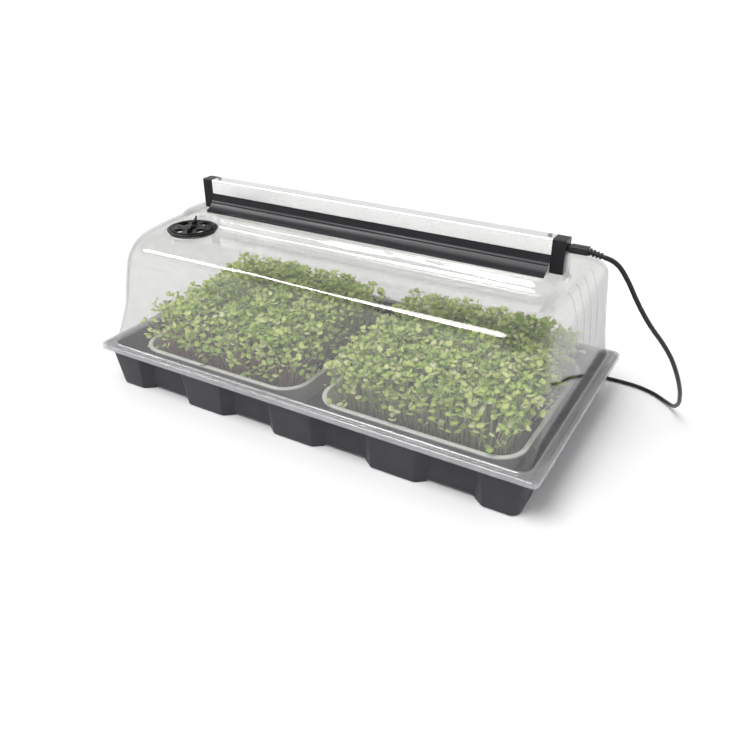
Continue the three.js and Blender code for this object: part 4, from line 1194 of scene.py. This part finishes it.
def plant_piece(name, mesh, look, body, shift, replaces=()):
    """Leaves or stems as a piece; its Tint attribute carries each plant's own shade."""
    vertices, faces, tint = mesh
    data = bpy.data.meshes.new(name)
    places = (vertices + np.array([shift, 0, 0])) * MM
    data.from_pydata(places.tolist(), [], faces.tolist())
    attribute = data.attributes.new("Tint", "FLOAT", "POINT")
    attribute.data.foreach_set("value", tint.astype(np.float32))
    data.materials.append(LOOKS[look])
    data.shade_smooth()
    placed(name, data, body, replaces)


def microgreens(where, centre_x, seed, redness):
    """One tray's plants, drawn in towards the top so that they clear the dome as the tray lifts."""
    rng = np.random.default_rng(seed)
    feet, height, lean = sow(rng)
    tips = np.column_stack([feet + lean, FOOT_Z + height])
    growth = np.column_stack([lean, np.zeros(len(lean))]) / GROWTH_LEAN
    above = np.maximum(tips[:, 2:] - TIP_FROM, 0)
    limit = np.array(TIP_LIMIT) - above * np.array(TIP_DRAWN_IN)
    tips[:, :2] = np.clip(tips[:, :2], -limit, limit)
    body = f"pan_{where}"
    front = np.clip((-feet[:, 1]) / SPREAD_HALF, 0, 1)
    red = redness * (0.35 + 0.65 * front)
    plant_piece(f"microgreens_{where}_leaves", leaf_mesh(tips, growth, rng), "leaf", body, centre_x,
                [f"microgreens_{where}"])
    plant_piece(f"microgreens_{where}_stems", stem_mesh(feet, tips, lean, red, rng), "stem", body,
                centre_x)


for seed, (where, x) in enumerate(PAN_X.items()):
    piece(f"grow_tray_{where}_shell", moved(grow_tray(), (x, 0, 0)), "white_plastic", f"pan_{where}",
          [f"grow_tray_{where}"], sharp=40)
    piece(f"growing_medium_{where}_bed", moved(growing_medium(seed), (x, 0, 0)), "growing_medium",
          f"pan_{where}", [f"growing_medium_{where}"], sharp=180)
    microgreens(where, x, 11 + seed, 0.95 if where == "left" else 0.35)


# ---- studio ----
FLOOR_HALF = 25
FLOOR_DROP = 0.0004  # just under the object's lowest points


def make_floor():
    data = bpy.data.meshes.new("floor")
    corners = [(-FLOOR_HALF, -FLOOR_HALF), (FLOOR_HALF, -FLOOR_HALF), (FLOOR_HALF, FLOOR_HALF),
               (-FLOOR_HALF, FLOOR_HALF)]
    data.from_pydata(at_height(corners, -FLOOR_DROP), [], [(0, 1, 2, 3)])
    tree, surface = node_tree("studio_floor")
    shader = tree.nodes.new("ShaderNodeBsdfDiffuse")
    set_inputs(shader, Color=(0.93, 0.93, 0.93, 1))
    tree.links.new(shader.outputs["BSDF"], surface)
    data.materials.append(LOOKS["studio_floor"])
    linked("studio_floor", data)


def make_world():
    """White at the horizon and grey overhead, for clean reflections."""
    world = bpy.data.worlds.new("studio")
    scene.world = world
    world.use_nodes = True
    tree = world.node_tree
    background = tree.nodes["Background"]
    coords = tree.nodes.new("ShaderNodeTexCoord")
    split = tree.nodes.new("ShaderNodeSeparateXYZ")
    tree.links.new(coords.outputs["Generated"], split.inputs["Vector"])
    colour = ramp(tree, split.outputs["Z"], (0.0, (1, 1, 1)), (0.22, (1, 1, 1)), (0.46, (0.50, 0.50, 0.51)),
                  (1.0, (0.42, 0.42, 0.43)))
    tree.links.new(colour, background.inputs["Color"])
    background.inputs["Strength"].default_value = 1.12


def sun(name, direction, strength, angle):
    data = bpy.data.lights.new(name, "SUN")
    data.energy = strength
    data.angle = math.radians(angle)
    linked(name, data).rotation_euler = Vector(direction).to_track_quat("-Z", "Y").to_euler()


def panel(name, location, target, size, strength):
    """A light that only shows in reflections."""
    data = bpy.data.lights.new(name, "AREA")
    data.shape = "RECTANGLE"
    data.size, data.size_y = size
    data.energy = strength
    light = linked(name, data)
    light.location = location
    light.rotation_euler = (Vector(target) - Vector(location)).to_track_quat("-Z", "Y").to_euler()
    light.visible_diffuse = False


make_floor()
make_world()
sun("key", (0.24, 0.42, -1.0), 2.15, 36)
panel("softbox_left", (-1.22, -0.50, 1.12), (-0.20, -0.1, 0.17), (0.28, 0.5), 7)
panel("softbox_strip", (-0.68, -0.66, 1.36), (0, 0, 0.18), (1.05, 0.14), 8)
scene.view_settings.view_transform = "Standard"
scene.cycles.transparent_max_bounces = 32
scene.cycles.max_bounces = 16
